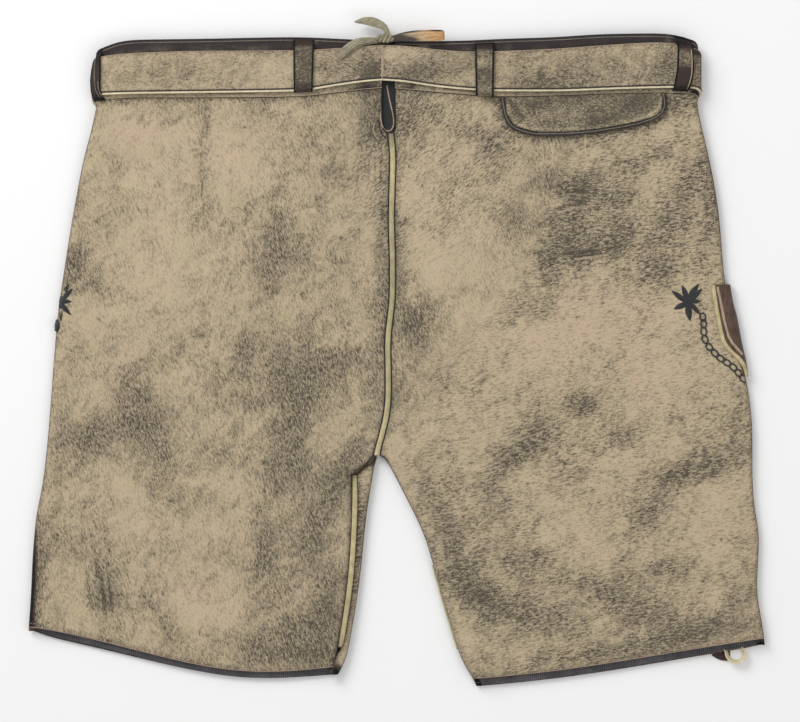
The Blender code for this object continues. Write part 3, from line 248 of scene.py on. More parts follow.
# How a strap lies: a place down its solid, where that lies on the garment, and its two edges there
Strap = namedtuple("Strap", "from_down down left right")
STRAPS = {
    "loop_left_back": table(
        Strap,
        (4.0, 5.4, -84.8, -67.7), (28, 27, -84.9, -68.3), (52.2, 49.4, -84.5, -69.0),
    ),
    "loop_right_back": table(
        Strap,
        (5.7, 7.6, 65.3, 81.3), (30, 30, 65.6, 81.1), (52.1, 52.8, 66.0, 80.8),
    ),
    "loop_right_side": table(
        Strap,
        (1.5, 1.6, 229.2, 240.6), (6, 6, 231.0, 244.4), (12, 12, 233.0, 245.8), (30, 30, 232.4, 246.6),
        (41, 40.3, 230.4, 245.4), (49.5, 48.4, 228.2, 242.2),
    ),
    "loop_left_side": table(
        Strap,
        (13.4, 12.6, -246.6, -243.4), (21.4, 22.0, -250.9, -244.2), (30.7, 30.7, -252.8, -244.1),
        (39.2, 39.2, -253.6, -244.3), (47.7, 47.7, -253.1, -244.3), (52.0, 51.8, -252.4, -242.4),
        (55.3, 55.2, -251.6, -240.2), (60.4, 57.4, -250.0, -244.8), (63.9, 58.2, -248.8, -246.0),
    ),
    "lace_knot": table(
        Strap,
        (1.9, 0.8, -15.6, -2.6), (5.4, 4.6, -17.2, -1.6), (8.9, 8.4, -15.8, -2.6),
    ),
}
# How dark the belt loops are down their length, in shares of it; above 1 they turn black
TONES = {
    "loop_left_back": ((0, 1.7), (0.09, 1.5), (0.16, 1.08), (0.5, 1.0), (0.8, 1.1), (0.83, 1.35), (1, 1.4)),
    "loop_right_back": (
        (0, 1.9), (0.12, 1.5), (0.2, 0.7), (0.3, 0.15), (0.45, 0.25), (0.52, 1.0), (0.78, 1.0), (0.86, 0.6),
        (1, 0.7),
    ),
    "loop_right_side": ((0, 2.0), (0.22, 1.7), (0.3, 0.9), (0.5, 0.95), (0.6, 1.55), (0.85, 1.6), (1, 1.9)),
    "loop_left_side": ((0, 2.0), (0.2, 1.75), (0.5, 1.6), (0.8, 1.7), (1, 1.9)),
}
# Lines of plan points on the loops, where a light cut edge shows
PlanLine = namedtuple("PlanLine", "piece material points")
RIGHT_EDGE = ((244.3, 13.6), (244.9, 24), (244.6, 32.9), (243.2, 40.3), (240.8, 46.4))
LEFT_EDGE = ((-248.8, 21), (-249.6, 30), (-249.5, 39.2), (-248.4, 47.4), (-245.0, 53.4))
LEFT_FOOT = ((-246.6, 40), (-246.0, 46.6), (-243.2, 53.0))
LOOP_LINES = table(
    PlanLine,
    ("loop_right_side", "tan_rim_and_highlight", RIGHT_EDGE),
    ("loop_left_side", "dull_rim", LEFT_EDGE),
    ("loop_left_side", "dull_rim", LEFT_FOOT),
)
# Painted shadows, black, under the belt: at its right end, and on each side of the vent
SHADOWS_UNDER_BELT = table(
    Patch,
    (248.0, 50.2, 20, 4.8, 3.6, 2.6), (-24, 46.4, 3, 15, 1.8, 1.7), (10, 47.0, -4, 9, 1.8, 1.4),
)

# The dark places of the lace's loop
LACE_MARKS = table(
    Patch,
    (-1, 5, 10, 8, 5, 1.3), (9, 6.6, 8, 10, 3.0, 1.5), (12, -1.2, 6, 10, 1.4, 0.8),
    (34, -2.6, 0, 6, 1.3, 1.4),
)
# The crease down the lace's lower tail, drawn as a dark line of painted shade
LACE_FOLD = ((-18, 7.9), (-24, 8.7), (-30, 10.3), (-35.4, 13.3), (-40.4, 17.8), (-45.2, 22.6))
# Arcs on the wrinkled leather beside the vent: dark ones of painted shade and a pale one of painted highlight
WRINKLES = table(
    PlanLine,
    ("back_left", "black", ((-14.1, 72.0), (-13.4, 79.3), (-11.2, 84.0), (-8.2, 86.6))),
    ("back_left", "tan_rim_and_highlight", ((-17.6, 74.6), (-18.9, 79.3), (-17.8, 83.4), (-14.9, 88.0))),
    ("back_left", "shadow_brown", ((-20.4, 76.0), (-20.8, 81.0), (-18.6, 86.4), (-13.8, 90.4))),
)

# Lines in plan. The vent's rim, from its top down the right side, round its foot and up the left
Spot = namedtuple("Spot", "across down")
VENT_RIM = table(
    Spot,
    (-7.5, 43.2), (-5.4, 54.8), (-3.0, 64.7), (-1.9, 70.5), (-1.9, 76), (-3.6, 79.8), (-6.6, 81.2),
    (-9.8, 79.8), (-11.8, 76), (-12.6, 71), (-12.8, 66),
)
# The knife pocket's mouth: its piping, and the band inside it
KNIFE_WELT = table(
    Spot,
    (262.8, 208.4), (265.0, 224), (267.7, 239), (271.2, 254), (273.6, 258.7), (278.9, 264.7), (283.7, 269),
    (286.9, 272.8), (289.2, 276.5), (291.0, 283.6),
)
KNIFE_BAND = (
    (266.3, 210), (269.2, 224), (272.2, 239), (275.4, 251), (278.6, 256.6), (283.0, 261.4), (287.0, 266.0),
)
# The right fold's outermost line beside it
KNIFE_FOLD = table(Spot, (271.5, 196), (276.5, 229), (284.5, 262), (292.0, 295))
# The radius of the side folds, the height of their middle, and how deep the bag goes down beyond its mouth
ROLL = 4.5
PIVOT = 4.4
SEWN_DOWN = 3.8

# The embroidery: a sprig on each side, the left one running round the fold, and a chain to the knife pocket
Leaf = namedtuple("Leaf", "turn long wide bow")
LEAVES = table(
    Leaf,
    (150, 14.4, 5.4, 1.2), (106, 12.4, 5.2, -0.8), (63, 15.6, 6.4, 1.0), (39, 14.2, 5.4, -1.2),
    (8, 9.2, 4.6, 0.8), (-40, 13.0, 4.8, 1.2), (-86, 14.0, 6.6, -1.0), (-147, 11.0, 6.0, 1.0),
)
RIGHT_SPRIG = (241.8, 222.4)
LEFT_SPRIG = (-280.0, 222.6)
LEFT_BUD = (-285.4, 242.0)
# The left fold's outermost line beside the sprig, and how it slopes
LEFT_FOLD = -279.0
LEFT_FOLD_SLOPE = -0.15
SPRIG_HEART = 1.6
HEART_STEP = 0.7
HEART_ACROSS = 4.6
HEART_DOWN = 6.0
SATIN_STEP = 0.85
SATIN_LEAN = 0.7
CHAIN = (
    (254.2, 235.0), (254.9, 240.6), (255.0, 246.9), (256.0, 253.4), (259.6, 259.8), (264.2, 265.0),
    (268.8, 269.2), (274.2, 272.8), (279.4, 276.6), (283.6, 281.2), (287.6, 286.0),
)
LINK_STITCHES = 10
LINK_LONG = 7.2
LINK_WIDE = 4.8
KNOT_TURN = 3.4

SUEDE_BASE = (0.515, 0.420, 0.276)
SUEDE_PINK = (0.565, 0.425, 0.300)
SUEDE_OLIVE = (0.330, 0.280, 0.185)
SUEDE_DARK = (0.066, 0.054, 0.044)
# Near-black brown for burnished edges, and for painted shade at folds, in gaps and under the belt
BURNISH_AND_SHADE_BROWN = (0.045, 0.032, 0.029)
INK = (0.010, 0.009, 0.009)
DARK_LEATHER = (0.034, 0.027, 0.026)


# ---------------------------------------------------------------- plan and curves


def plan(across, down, height=0.0):
    return Vector(((across - MIDDLE_ACROSS) * MM, (MIDDLE_DOWN - down) * MM, height * MM))


def drafted(points):
    """Across and down, in drafting millimetres, of an array of points in metres."""
    return points[:, 0] / MM + MIDDLE_ACROSS, MIDDLE_DOWN - points[:, 1] / MM


def smooth(rows, start, value):
    """A function of the column start that runs smoothly through the column value, with no overshoot."""
    at = [getattr(row, start) for row in rows]
    to = [getattr(row, value) for row in rows]
    slopes = [(to[i + 1] - to[i]) / (at[i + 1] - at[i]) for i in range(len(at) - 1)]
    tangents = [slopes[0]]
    for before, after in zip(slopes, slopes[1:]):
        turns = before * after <= 0
        tangents.append(0.0 if turns else 2 * before * after / (before + after))
    tangents.append(slopes[-1])

    def run(t):
        t = min(max(t, at[0]), at[-1])
        i = next(k for k in range(len(slopes)) if t <= at[k + 1])
        span = at[i + 1] - at[i]
        f = (t - at[i]) / span
        return (
            to[i] * (1 + 2 * f) * (1 - f) ** 2
            + to[i + 1] * f * f * (3 - 2 * f)
            + span * (tangents[i] * f * (1 - f) ** 2 - tangents[i + 1] * f * f * (1 - f))
        )

    return run


Station = namedtuple("Station", "order across down height wide")


def curved(rows, count):
    """Bends through a short table's rows, evenly spread over its smooth curve, in millimetres."""
    numbered = [Station(i, *row) for i, row in enumerate(rows)]
    runs = [smooth(numbered, "order", name) for name in Bend._fields]
    last = len(rows) - 1
    return [Bend(*(run(last * i / (count - 1)) for run in runs)) for i in range(count)]


def ease(share):
    share = np.clip(share, 0.0, 1.0)
    return share * share * (3 - 2 * share)


def between(rows, start, value, where):
    """The column value of rows, read off between them where the column start is where."""
    return np.interp(where, [getattr(row, start) for row in rows], [getattr(row, value) for row in rows])


def even_steps(points, step, least):
    """Even steps along points: the index of the point before each, and the share of the way to the next."""
    along = [0.0]
    for a, b in zip(points, points[1:]):
        along.append(along[-1] + (b - a).length / MM)
    found = []
    for far in np.linspace(0, along[-1], max(least, round(along[-1] / step) + 1)):
        i = min(max(int(np.searchsorted(along, far)), 1), len(along) - 1) - 1
        found.append((i, (far - along[i]) / max(along[i + 1] - along[i], 1e-9)))
    return found


# ---------------------------------------------------------------- materials


class Look:
    """A node material, built up one socket at a time. Colours are red, green and blue."""

    def __init__(self, name, roughness, sheen=0.05, specular=0.3):
        self.material = bpy.data.materials.new(name)
        self.material.use_nodes = True
        self.tree = self.material.node_tree
        self.shader = self.tree.nodes["Principled BSDF"]
        self.feed(self.shader.inputs["Roughness"], roughness)
        self.feed(self.shader.inputs["Specular IOR Level"], specular)
        self.feed(self.shader.inputs["Sheen Weight"], sheen)
        self.feed(self.shader.inputs["Sheen Roughness"], 0.6)
        self.place = self.tree.nodes.new("ShaderNodeTexCoord").outputs["Object"]

    def node(self, kind, inputs, **settings):
        made = self.tree.nodes.new(kind)
        for name, value in settings.items():
            setattr(made, name, value)
        for key, value in inputs.items():
            self.feed(made.inputs[key], value)
        return made

    def feed(self, socket, value):
        if isinstance(value, bpy.types.NodeSocket):
            self.tree.links.new(value, socket)
        else:
            socket.default_value = (*value, 1) if socket.type == "RGBA" else value

    def turned(self, turn, scale, middle=(0, 0, 0)):
        """Coordinates round a middle, turned by turn degrees, with scale metres to the unit."""
        spin = (0, 0, math.radians(turn))
        inputs = {"Vector": self.place, "Location": middle, "Rotation": spin, "Scale": scale}
        return self.node("ShaderNodeMapping", inputs, vector_type="TEXTURE").outputs["Vector"]

    def stretched(self, turn, long, wide):
        """Coordinates in which one unit is long millimetres in the direction turn, and wide across it."""
        return self.turned(turn, (long * MM, wide * MM, wide * MM))

    def noise(self, where, detail=2.0, rough=0.5, warp=0.0):
        inputs = {"Vector": where, "Scale": 1.0, "Detail": detail, "Roughness": rough, "Distortion": warp}
        return self.node("ShaderNodeTexNoise", inputs).outputs["Fac"]

    def grain(self, size, detail=2.0, rough=0.5):
        return self.noise(self.stretched(0, size, size), detail, rough)

    def math(self, operation, a, b=0.0):
        return self.node("ShaderNodeMath", {0: a, 1: b}, operation=operation).outputs[0]

    def blend(self, share, a, b):
        """A number that runs from a to b with the share."""
        return self.node("ShaderNodeMix", {0: share, 2: a, 3: b}).outputs[0]

    def mixed(self, share, a, b):
        """A colour that runs from a to b with the share."""
        return self.node("ShaderNodeMix", {0: share, 6: a, 7: b}, data_type="RGBA").outputs[2]

    def off(self, value):
        """How far a noise is off its middle."""
        return self.math("SUBTRACT", value, 0.5)

    def spot(self, row):
        """A soft mask of a patch, 1 in its middle and 0 beyond its half length and half width."""
        where = self.turned(row.turn, (row.long * MM, row.wide * MM, 1.0), plan(row.across, row.down))
        ball = self.node("ShaderNodeTexGradient", {"Vector": where}, gradient_type="SPHERICAL")
        return self.step(ball.outputs["Fac"], 0.0, 0.9)

    def plus(self, *terms):
        total = terms[0]
        for term in terms[1:]:
            total = self.math("ADD", total, term)
        return total

    def times(self, a, b):
        return self.math("MULTIPLY", a, b)

    def step(self, value, low, high, to_low=0.0, to_high=1.0):
        inputs = {"Value": value, "From Min": low, "From Max": high, "To Min": to_low, "To Max": to_high}
        return self.node("ShaderNodeMapRange", inputs, interpolation_type="SMOOTHSTEP").outputs["Result"]

    def attribute(self, name):
        return self.node("ShaderNodeAttribute", {}, attribute_name=name).outputs["Fac"]

    def finish(self, colour, height, depth, strength=0.6):
        """Sets the colour and the relief, which is depth millimetres high."""
        self.feed(self.shader.inputs["Base Color"], colour)
        bump = self.node("ShaderNodeBump", {"Height": height, "Distance": depth * MM, "Strength": strength})
        self.feed(self.shader.inputs["Normal"], bump.outputs["Normal"])
        return self.material


def suede_colour(look, tone=0.0, level_only=False):
    """Brushed suede's colour, with dark flecks that follow the brushing, and its relief."""

    def flecks(turn, long, wide, warp=0.5):
        return look.noise(look.stretched(turn, long, wide), 3, 0.62, warp)

    dark, pale = look.attribute("dark"), look.attribute("pale")
    if level_only:
        fleck = flecks(11, 2.2, 1.1)
    else:
        brushed = look.attribute("brushed")
        level = flecks(11, 3.8, 1.3)
        upright = flecks(-72, 3.4, 1.15, 0.4)
        slant = flecks(42, 3.3, 1.3)
        fleck = look.blend(look.step(brushed, 0.15, 0.75), upright, level)
        fleck = look.blend(look.step(brushed, -0.15, -0.75), fleck, slant)
    speckle = look.grain(1.3, 3, 0.65)
    cloud = look.noise(look.stretched(20, 62, 44), 3, 0.55, 0.6)
    drift = look.noise(look.stretched(56, 17, 12), 4, 0.62, 0.8)
    shade = look.plus(
        look.times(dark, 1.10),
        look.times(look.off(cloud), 0.8),
        look.times(look.off(drift), 1.65),
        look.times(pale, -0.26),
        tone + 0.27,
    )
    soft = look.step(shade, -0.25, 1.15)
    deep = look.step(shade, 0.9, 1.9)
    grains = look.plus(look.times(look.off(fleck), 1.0), look.times(look.off(speckle), 0.5))
    spread = look.plus(look.times(soft, 1.9), look.times(deep, -1.6), 1.05 if level_only else 1.40)
    if not level_only:
        spread = look.plus(spread, look.times(look.math("ABSOLUTE", brushed), 0.5))
    share = look.plus(look.times(soft, 0.66), look.times(deep, 0.25), look.times(grains, spread), -0.02)
    if not level_only:
        lines = look.plus(*(look.times(look.spot(row), row.strength) for row in STREAKS))
        share = look.plus(share, look.times(lines, look.attribute("upper")))
    pinkness = look.plus(look.times(pale, 0.5), look.times(look.off(look.grain(24, 2)), 1.6))
    colour = look.mixed(look.step(pinkness, -0.1, 0.7, 0.0, 0.6), SUEDE_BASE, SUEDE_PINK)
    colour = look.mixed(look.step(soft, 0, 1, 0.0, 0.45), colour, SUEDE_OLIVE)
    colour = look.mixed(look.math("MINIMUM", look.math("MAXIMUM", share, 0.0), 0.94), colour, SUEDE_DARK)
    # Burnished edges, and painted shade at folds, in gaps and under the belt, darken the suede to near black
    darkening = look.plus(look.attribute("burnish_and_shade"), look.times(look.off(fleck), 0.8))
    colour = look.mixed(look.step(darkening, 0.12, 1.0, 0.0, 0.94), colour, BURNISH_AND_SHADE_BROWN)
    colour = look.mixed(look.step(darkening, 1.0, 1.5), colour, INK)
    height = look.plus(fleck, look.times(speckle, 0.7), look.times(look.grain(0.6), 0.5))
    return colour, height


def suede(name="suede", tone=0.0, level_only=False):
    look = Look(name, 0.95, sheen=0.06, specular=0.10)
    return look.finish(*suede_colour(look, tone, level_only), 0.3, 0.55)


def rib_share(look, pitch, turn, ribbing):
    """Fine ribs pitch millimetres apart, running in the direction turn, patchy with wear, and their relief.
    """
    where = look.turned(turn - 90, (pitch * MM, pitch * MM, pitch * MM))
    inputs = {"Vector": where, "Scale": 0.314, "Distortion": 1.2, "Detail": 2.0}
    wave = look.node("ShaderNodeTexWave", inputs, bands_direction="X").outputs["Fac"]
    grain = look.grain(0.8, 3, 0.6)
    patch = look.noise(look.stretched(0, 17, 9), 3, 0.6)
    share = look.plus(look.times(wave, ribbing), look.times(patch, 0.8), look.times(grain, 0.4))
    share = look.plus(share, look.times(look.attribute("burnish_and_shade"), -0.7))
    return share, look.plus(look.times(wave, 0.8), look.times(grain, 0.4))


def facing_cloth():
    """The hems' facing, a dark ribbed cloth."""
    look = Look("facing_cloth", 0.75)
    share, height = rib_share(look, 1.6, 88, 0.35)
    colour = look.mixed(look.step(share, 0.45, 1.25), (0.052, 0.049, 0.053), (0.190, 0.180, 0.186))
    return look.finish(colour, height, 0.5, 0.8)


def waistband_leather():
    """The waistband: near-black ribbed leather with olive wear, and suede below the belt."""
    look = Look("band_leather", 0.85)
    share, ribs = rib_share(look, 1.7, 84, 0.07)
    share = look.plus(share, look.times(look.attribute("pale"), 1.1))
    strip = look.mixed(look.step(share, 0.55, 1.45), DARK_LEATHER, (0.30, 0.26, 0.18))
    colour, height = suede_colour(look, 0.10, level_only=True)
    below = look.step(look.attribute("below_belt"), 0.3, 0.7)
    return look.finish(look.mixed(below, strip, colour), look.blend(below, ribs, height), 0.5, 0.7)


def plain_leather(name, colour, light, roughness=0.7, streak=(88, 8, 1.2), edge_share=0.9, shade=SUEDE_DARK):
    """Smooth leather with a little grain, wear and darker edges, and the painted shade that its piece's
    points carry.
    """
    look = Look(name, roughness)
    fibres = look.noise(look.stretched(*streak), 3, 0.6, 0.4)
    patch = look.noise(look.stretched(0, 14, 9), 3, 0.6)
    grain = look.grain(0.7, 3, 0.6)
    share = look.plus(look.times(fibres, 0.7), look.times(patch, 0.6), look.times(grain, 0.3))
    made = look.mixed(look.step(share, 0.5, 1.15), colour, light)
    # Burnished edges and painted shade darken it towards near-black brown
    darkening = look.plus(look.attribute("burnish_and_shade"), look.times(look.off(grain), 0.5))
    made = look.mixed(look.step(darkening, 0.3, 1.0, 0.0, edge_share), made, BURNISH_AND_SHADE_BROWN)
    dark = look.step(look.attribute("dark"), 0.05, 0.9, 0.0, 0.85)
    made = look.mixed(dark, made, shade)
    height = look.plus(look.times(fibres, 0.5), look.times(grain, 0.8))
    return look.finish(made, height, 0.3, 0.6)


def flesh_side():
    """The thong's flesh side, pale at the knot and warmer towards the loop's end."""
    look = Look("thong_flesh_side", 0.8)
    fibres = look.noise(look.stretched(4, 8, 1), 3, 0.6, 0.4)
    share = look.plus(fibres, look.times(look.off(look.grain(0.7)), 0.4))
    pale = look.mixed(look.step(share, 0.3, 0.75), (0.30, 0.24, 0.15), (0.52, 0.42, 0.28))
    warm = look.mixed(look.step(share, 0.3, 0.75), (0.40, 0.21, 0.085), (0.68, 0.42, 0.20))
    made = look.mixed(look.attribute("warm"), pale, warm)
    made = look.mixed(look.step(look.attribute("dark"), 0.1, 0.9, 0.0, 0.93), made, DARK_LEATHER)
    return look.finish(made, fibres, 0.3, 0.6)


def thread(name, colour, light):
    """Twisted sewing or embroidery thread."""
    look = Look(name, 0.6, sheen=0.2)
    twist = look.noise(look.stretched(35, 0.9, 0.3), 2, 0.5)
    made = look.mixed(look.step(twist, 0.35, 0.7), colour, light)
    return look.finish(made, twist, 0.15, 0.6)


MATERIALS = {
    "suede": suede(),
    "belt": suede("belt_suede", 0.05, level_only=True),
    "flap": suede("flap_suede", 1.02, level_only=True),
    "loop": suede("loop_suede", 0.20, level_only=True),
    "band": waistband_leather(),
    "facing": facing_cloth(),
    "piping": plain_leather("piping_leather", (0.36, 0.30, 0.15), (0.66, 0.58, 0.33), edge_share=0.85),
    "cream": plain_leather("raw_edge", (0.52, 0.44, 0.28), (0.82, 0.74, 0.52), streak=(2, 5, 0.8)),
    "dark": plain_leather("dark_leather", (0.038, 0.024, 0.017), (0.15, 0.092, 0.060), 0.6),
    "maroon": plain_leather("maroon_leather", (0.022, 0.010, 0.010), (0.085, 0.040, 0.036), 0.6),
    "navy": plain_leather("gusset_leather", (0.042, 0.040, 0.047), (0.120, 0.114, 0.132), 0.6, shade=INK),
    "rose": plain_leather("rose_edge", (0.30, 0.21, 0.15), (0.50, 0.37, 0.27)),
    # Tan for light cut edges and rims, and for a painted highlight on a wrinkle
    "tan_rim_and_highlight": plain_leather("tan_rim_and_highlight", (0.27, 0.20, 0.14), (0.50, 0.41, 0.30)),
    "dull_rim": plain_leather("dull_rim", (0.10, 0.085, 0.068), (0.22, 0.19, 0.15)),
    # Near-black for cut edges, and for strips of painted shade in grooves, beside rims and on wrinkles
    "black": plain_leather("black_edge_and_shade", (0.009, 0.008, 0.008), (0.034, 0.029, 0.027)),
    "thong": plain_leather("thong_leather", (0.15, 0.135, 0.085), (0.40, 0.355, 0.24), streak=(30, 5, 1)),
    "tan": flesh_side(),
    "thong_dark": plain_leather("thong_shadow", (0.045, 0.038, 0.024), (0.12, 0.10, 0.065)),
    "shadow_brown": plain_leather("crease_shadow", (0.075, 0.058, 0.045), (0.20, 0.165, 0.125)),
    "thread_dark": thread("dark_thread", (0.030, 0.024, 0.022), (0.10, 0.085, 0.075)),
    "thread_tan": thread("tan_thread", (0.24, 0.19, 0.13), (0.46, 0.37, 0.26)),
    "thread_green": thread("green_thread", (0.008, 0.010, 0.011), (0.032, 0.037, 0.038)),
}


# ---------------------------------------------------------------- meshes


PIECES = {}


def shown(name, mesh, material, node=None):
    """A new piece that rides on the body, takes the named material and stands for the node, if it has one."""
    made = bpy.data.objects.new(name, mesh)
    bpy.context.scene.collection.objects.link(made)
    made.data.materials.clear()
    made.data.materials.append(MATERIALS[material])
    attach(made, "root")
    if node:
        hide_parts(node)
        PIECES[node] = made
    return made


def points_of(mesh, what="co"):
    found = np.zeros(len(mesh.vertices) * 3)
    mesh.vertices.foreach_get(what, found)
    return found.reshape(-1, 3)


def put(mesh, points):
    mesh.vertices.foreach_set("co", points.ravel())
    mesh.update()


def keep_sharp_edges(built):
    """Marks the cut edges, so that subdivision leaves them sharp."""
    layer = built.edges.layers.float.get("crease_edge") or built.edges.layers.float.new("crease_edge")
    for edge in built.edges:
        if edge.calc_face_angle(math.pi) > SHARP:
            edge[layer] = 1.0


def finer(node, levels, outer_too=False):
    """A node's mesh, subdivided smoothly between its cut edges; outer_too splits its outer skin once more."""
    built = bmesh.new()
    built.from_mesh(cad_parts[node].data)
    bmesh.ops.remove_doubles(built, verts=built.verts, dist=1e-6)
    limits = {"angle_face_threshold": math.radians(40), "angle_shape_threshold": math.radians(89)}
    bmesh.ops.join_triangles(built, faces=built.faces, **limits)
    keep_sharp_edges(built)
    rough = bpy.data.meshes.new(node + "_rough")
    built.to_mesh(rough)
    built.free()
    helper = bpy.data.objects.new(node + "_rough", rough)
    bpy.context.scene.collection.objects.link(helper)
    subdivision = helper.modifiers.new("finer", "SUBSURF")
    subdivision.levels = levels
    mesh = bpy.data.meshes.new_from_object(helper.evaluated_get(bpy.context.evaluated_depsgraph_get()))
    bpy.data.objects.remove(helper)
    bpy.data.meshes.remove(rough)
    if outer_too:
        built = bmesh.new()
        built.from_mesh(mesh)
        edges = {edge for face in largest_skin(built) for edge in face.edges}
        bmesh.ops.subdivide_edges(built, edges=list(edges), cuts=1, use_grid_fill=True)
        built.to_mesh(mesh)
        built.free()
    mesh.name = node + "_leather"
    mesh.shade_smooth()
    mesh.set_sharp_from_angle(angle=SHARP)
    return mesh


def largest_skin(built):
    """The faces of the outer skin: the connected faces between cut edges with the greatest area."""
    left, best, best_area = set(built.faces), [], 0.0
    while left:
        skin = [left.pop()]
        for face in skin:
            for edge in face.edges:
                if edge.calc_face_angle(math.pi) < SHARP:
                    for other in edge.link_faces:
                        if other in left:
                            left.remove(other)
                            skin.append(other)
        area = sum(face.calc_area() for face in skin)
        upward = sum(face.normal.z * face.calc_area() for face in skin)
        if area + 0.05 * upward > best_area:
            best, best_area = skin, area + 0.05 * upward
    return best


Rim = namedtuple("Rim", "place normal outward")


def outward_from(face, edge):
    """The direction from a face over one of its edges, in the face's plane."""
    middle = (edge.verts[0].co + edge.verts[1].co) / 2
    run = (edge.verts[1].co - edge.verts[0].co).normalized()
    away = middle - face.calc_center_median()
    return (away - run * away.dot(run)).normalized()


def rim_line(mesh, toward, inside=None):
    """The longest run of the outer skin's border that faces toward, where inside(place) holds, as rims."""
    built = bmesh.new()
    built.from_mesh(mesh)
    skin = set(largest_skin(built))
    toward = Vector(toward).normalized()
    at, links = {}, {}
    for face in skin:
        for edge in face.edges:
            if sum(other in skin for other in edge.link_faces) != 1:
                continue
            outward = outward_from(face, edge)
            middle = (edge.verts[0].co + edge.verts[1].co) / 2
            if outward.dot(toward) < FACING or inside and not inside(middle):
                continue
            first, second = edge.verts
            for vert, other in ((first, second), (second, first)):
                links.setdefault(vert.index, []).append(other.index)
                old = at.get(vert.index, (vert.co.copy(), Vector(), Vector()))
                at[vert.index] = (old[0], old[1] + face.normal, old[2] + outward)
    built.free()
    runs, left = [], set(at)
    while left:
        ends = [i for i in left if len(links[i]) == 1]
        here = min(ends) if ends else min(left)
        run = []
        while here is not None:
            left.discard(here)
            run.append(here)
            here = next((i for i in links[here] if i in left), None)
        runs.append(run)
    best = max(runs, key=lambda run: sum((at[a][0] - at[b][0]).length for a, b in zip(run, run[1:])))
    rims = [Rim(at[i][0], at[i][1].normalized(), at[i][2].normalized()) for i in best]
    return rims if rims[0].place.x + rims[0].place.y < rims[-1].place.x + rims[-1].place.y else rims[::-1]


def spaced(rims, step):
    """Rims about step millimetres apart."""
    found = []
    for i, share in even_steps([rim.place for rim in rims], step, 2):
        a, b = rims[i], rims[i + 1]
        normal, outward = (one.lerp(other, share).normalized() for one, other in zip(a[1:], b[1:]))
        found.append(Rim(a.place.lerp(b.place, share), normal, outward))
    return found


def moved_in(rims, inset, lift=0.0):
    """Rims moved into the skin, and off it, by millimetres."""
    return [rim._replace(place=rim.place + (rim.normal * lift - rim.outward * inset) * MM) for rim in rims]


def cut_edge_distance(mesh, points):
    """How far each point is from the nearest cut edge, in millimetres."""
    edges = np.zeros(len(mesh.edges) * 2, int)
    mesh.edges.foreach_get("vertices", edges)
    sharp = np.zeros(len(mesh.edges), bool)
    mesh.attributes["sharp_edge"].data.foreach_get("value", sharp)
    edges = edges.reshape(-1, 2)[sharp]
    ends = points[edges]
    if not len(ends):
        return np.full(len(points), 100.0)
    quarters = (0, 0.25, 0.5, 0.75)
    spots = np.concatenate([ends[:, 0] + (ends[:, 1] - ends[:, 0]) * share for share in quarters])
    tree = KDTree(len(spots))
    for i, spot in enumerate(spots):
        tree.insert(spot, i)
    tree.balance()
    return np.array([tree.find(point)[2] for point in points]) / MM


def replanned(mesh, fit):
    """Moves a mesh's points in plan, to where fit puts their across and down."""
    points = points_of(mesh)
    across, down = fit(*drafted(points))
    points[:, 0] = (across - MIDDLE_ACROSS) * MM
    points[:, 1] = (MIDDLE_DOWN - down) * MM
    put(mesh, points)


def fitted(rows):
    """A change of plan that makes a strap fill the outline in rows."""

    def fit(across, down):
        levels = np.arange(down.min(), down.max() + 3, 3)
        near = [across[np.abs(down - level) <= 3] for level in levels]
        first = np.interp(down, levels, [part.min() for part in near])
        last = np.interp(down, levels, [part.max() for part in near])
        low, left, right = (between(rows, "from_down", name, down) for name in Strap._fields[1:])
        return left + (right - left) * (across - first) / (last - first), low

    return fit


def beside_line(rows, across, down):
    """How far points are from a line of plan points, in millimetres."""
    best = np.full(len(across), 1e3)
    for (a, b), (c, d) in zip(rows, rows[1:]):
        x, y = c - a, d - b
        share = np.clip(((across - a) * x + (down - b) * y) / (x * x + y * y), 0, 1)
        best = np.minimum(best, np.hypot(across - a - share * x, down - b - share * y))
    return best


def beside(row, across, down):
    """Where points lie from a row: along its direction, in half lengths, and aside of it, in millimetres."""
    turn = math.radians(row.turn)
    x, y = across - row.across, row.down - down
    along = (x * math.cos(turn) + y * math.sin(turn)) / row.long
    return along, y * math.cos(turn) - x * math.sin(turn)


def swell(along, aside):
    return np.exp(-np.clip(along**2 + aside**2, 0, 30))


def bowed(rows, across, down):
    """The sum of the creases in rows, each an uneven soft ridge or trough along a bowed line."""
    total = np.zeros(len(across))
    for k, row in enumerate(rows):
        along, aside = beside(row, across, down)
        uneven = 1 + 0.35 * np.sin(along * 4.1 + k * 1.7) + 0.2 * np.sin(along * 9.7 + k * 2.9)
        total += row.high * uneven * swell(along, (aside - row.bow * along**2) / row.wide)
    return total


def patches(rows, across, down):
    """The sum of the patches in rows."""
    total = np.zeros(len(across))
    for row in rows:
        along, aside = beside(row, across, down)
        total += row.strength * swell(along, aside / row.wide)
    return total


def rippled(across, down, length, seed):
    """Smooth unevenness between -1 and 1, in waves of that length in millimetres."""
    return np.array([noise.noise((a / length, d / length, seed)) for a, d in zip(across, down)])


def relief(across, down):
    """How far the back's leather is raised at a point by its creases, in millimetres."""
    below_belt = ease((down - 46) / 14)
    waves = rippled(across, down, length=34, seed=1.5)
    uneven = 0.45 * waves + 0.22 * rippled(across, down, length=11, seed=7.5)
    return (bowed(CREASES, across, down) + uneven) * below_belt


def under_relief(across, down):
    """The same for the front, upwards from the surface that it lies on."""
    below_belt = ease((down - 70) / 20)
    uneven = 0.5 + 0.7 * rippled(across, down, length=46, seed=3.5)
    return np.clip(bowed(UNDER_CREASES, across, down) + 0.5 * uneven, 0, 1.2) * below_belt


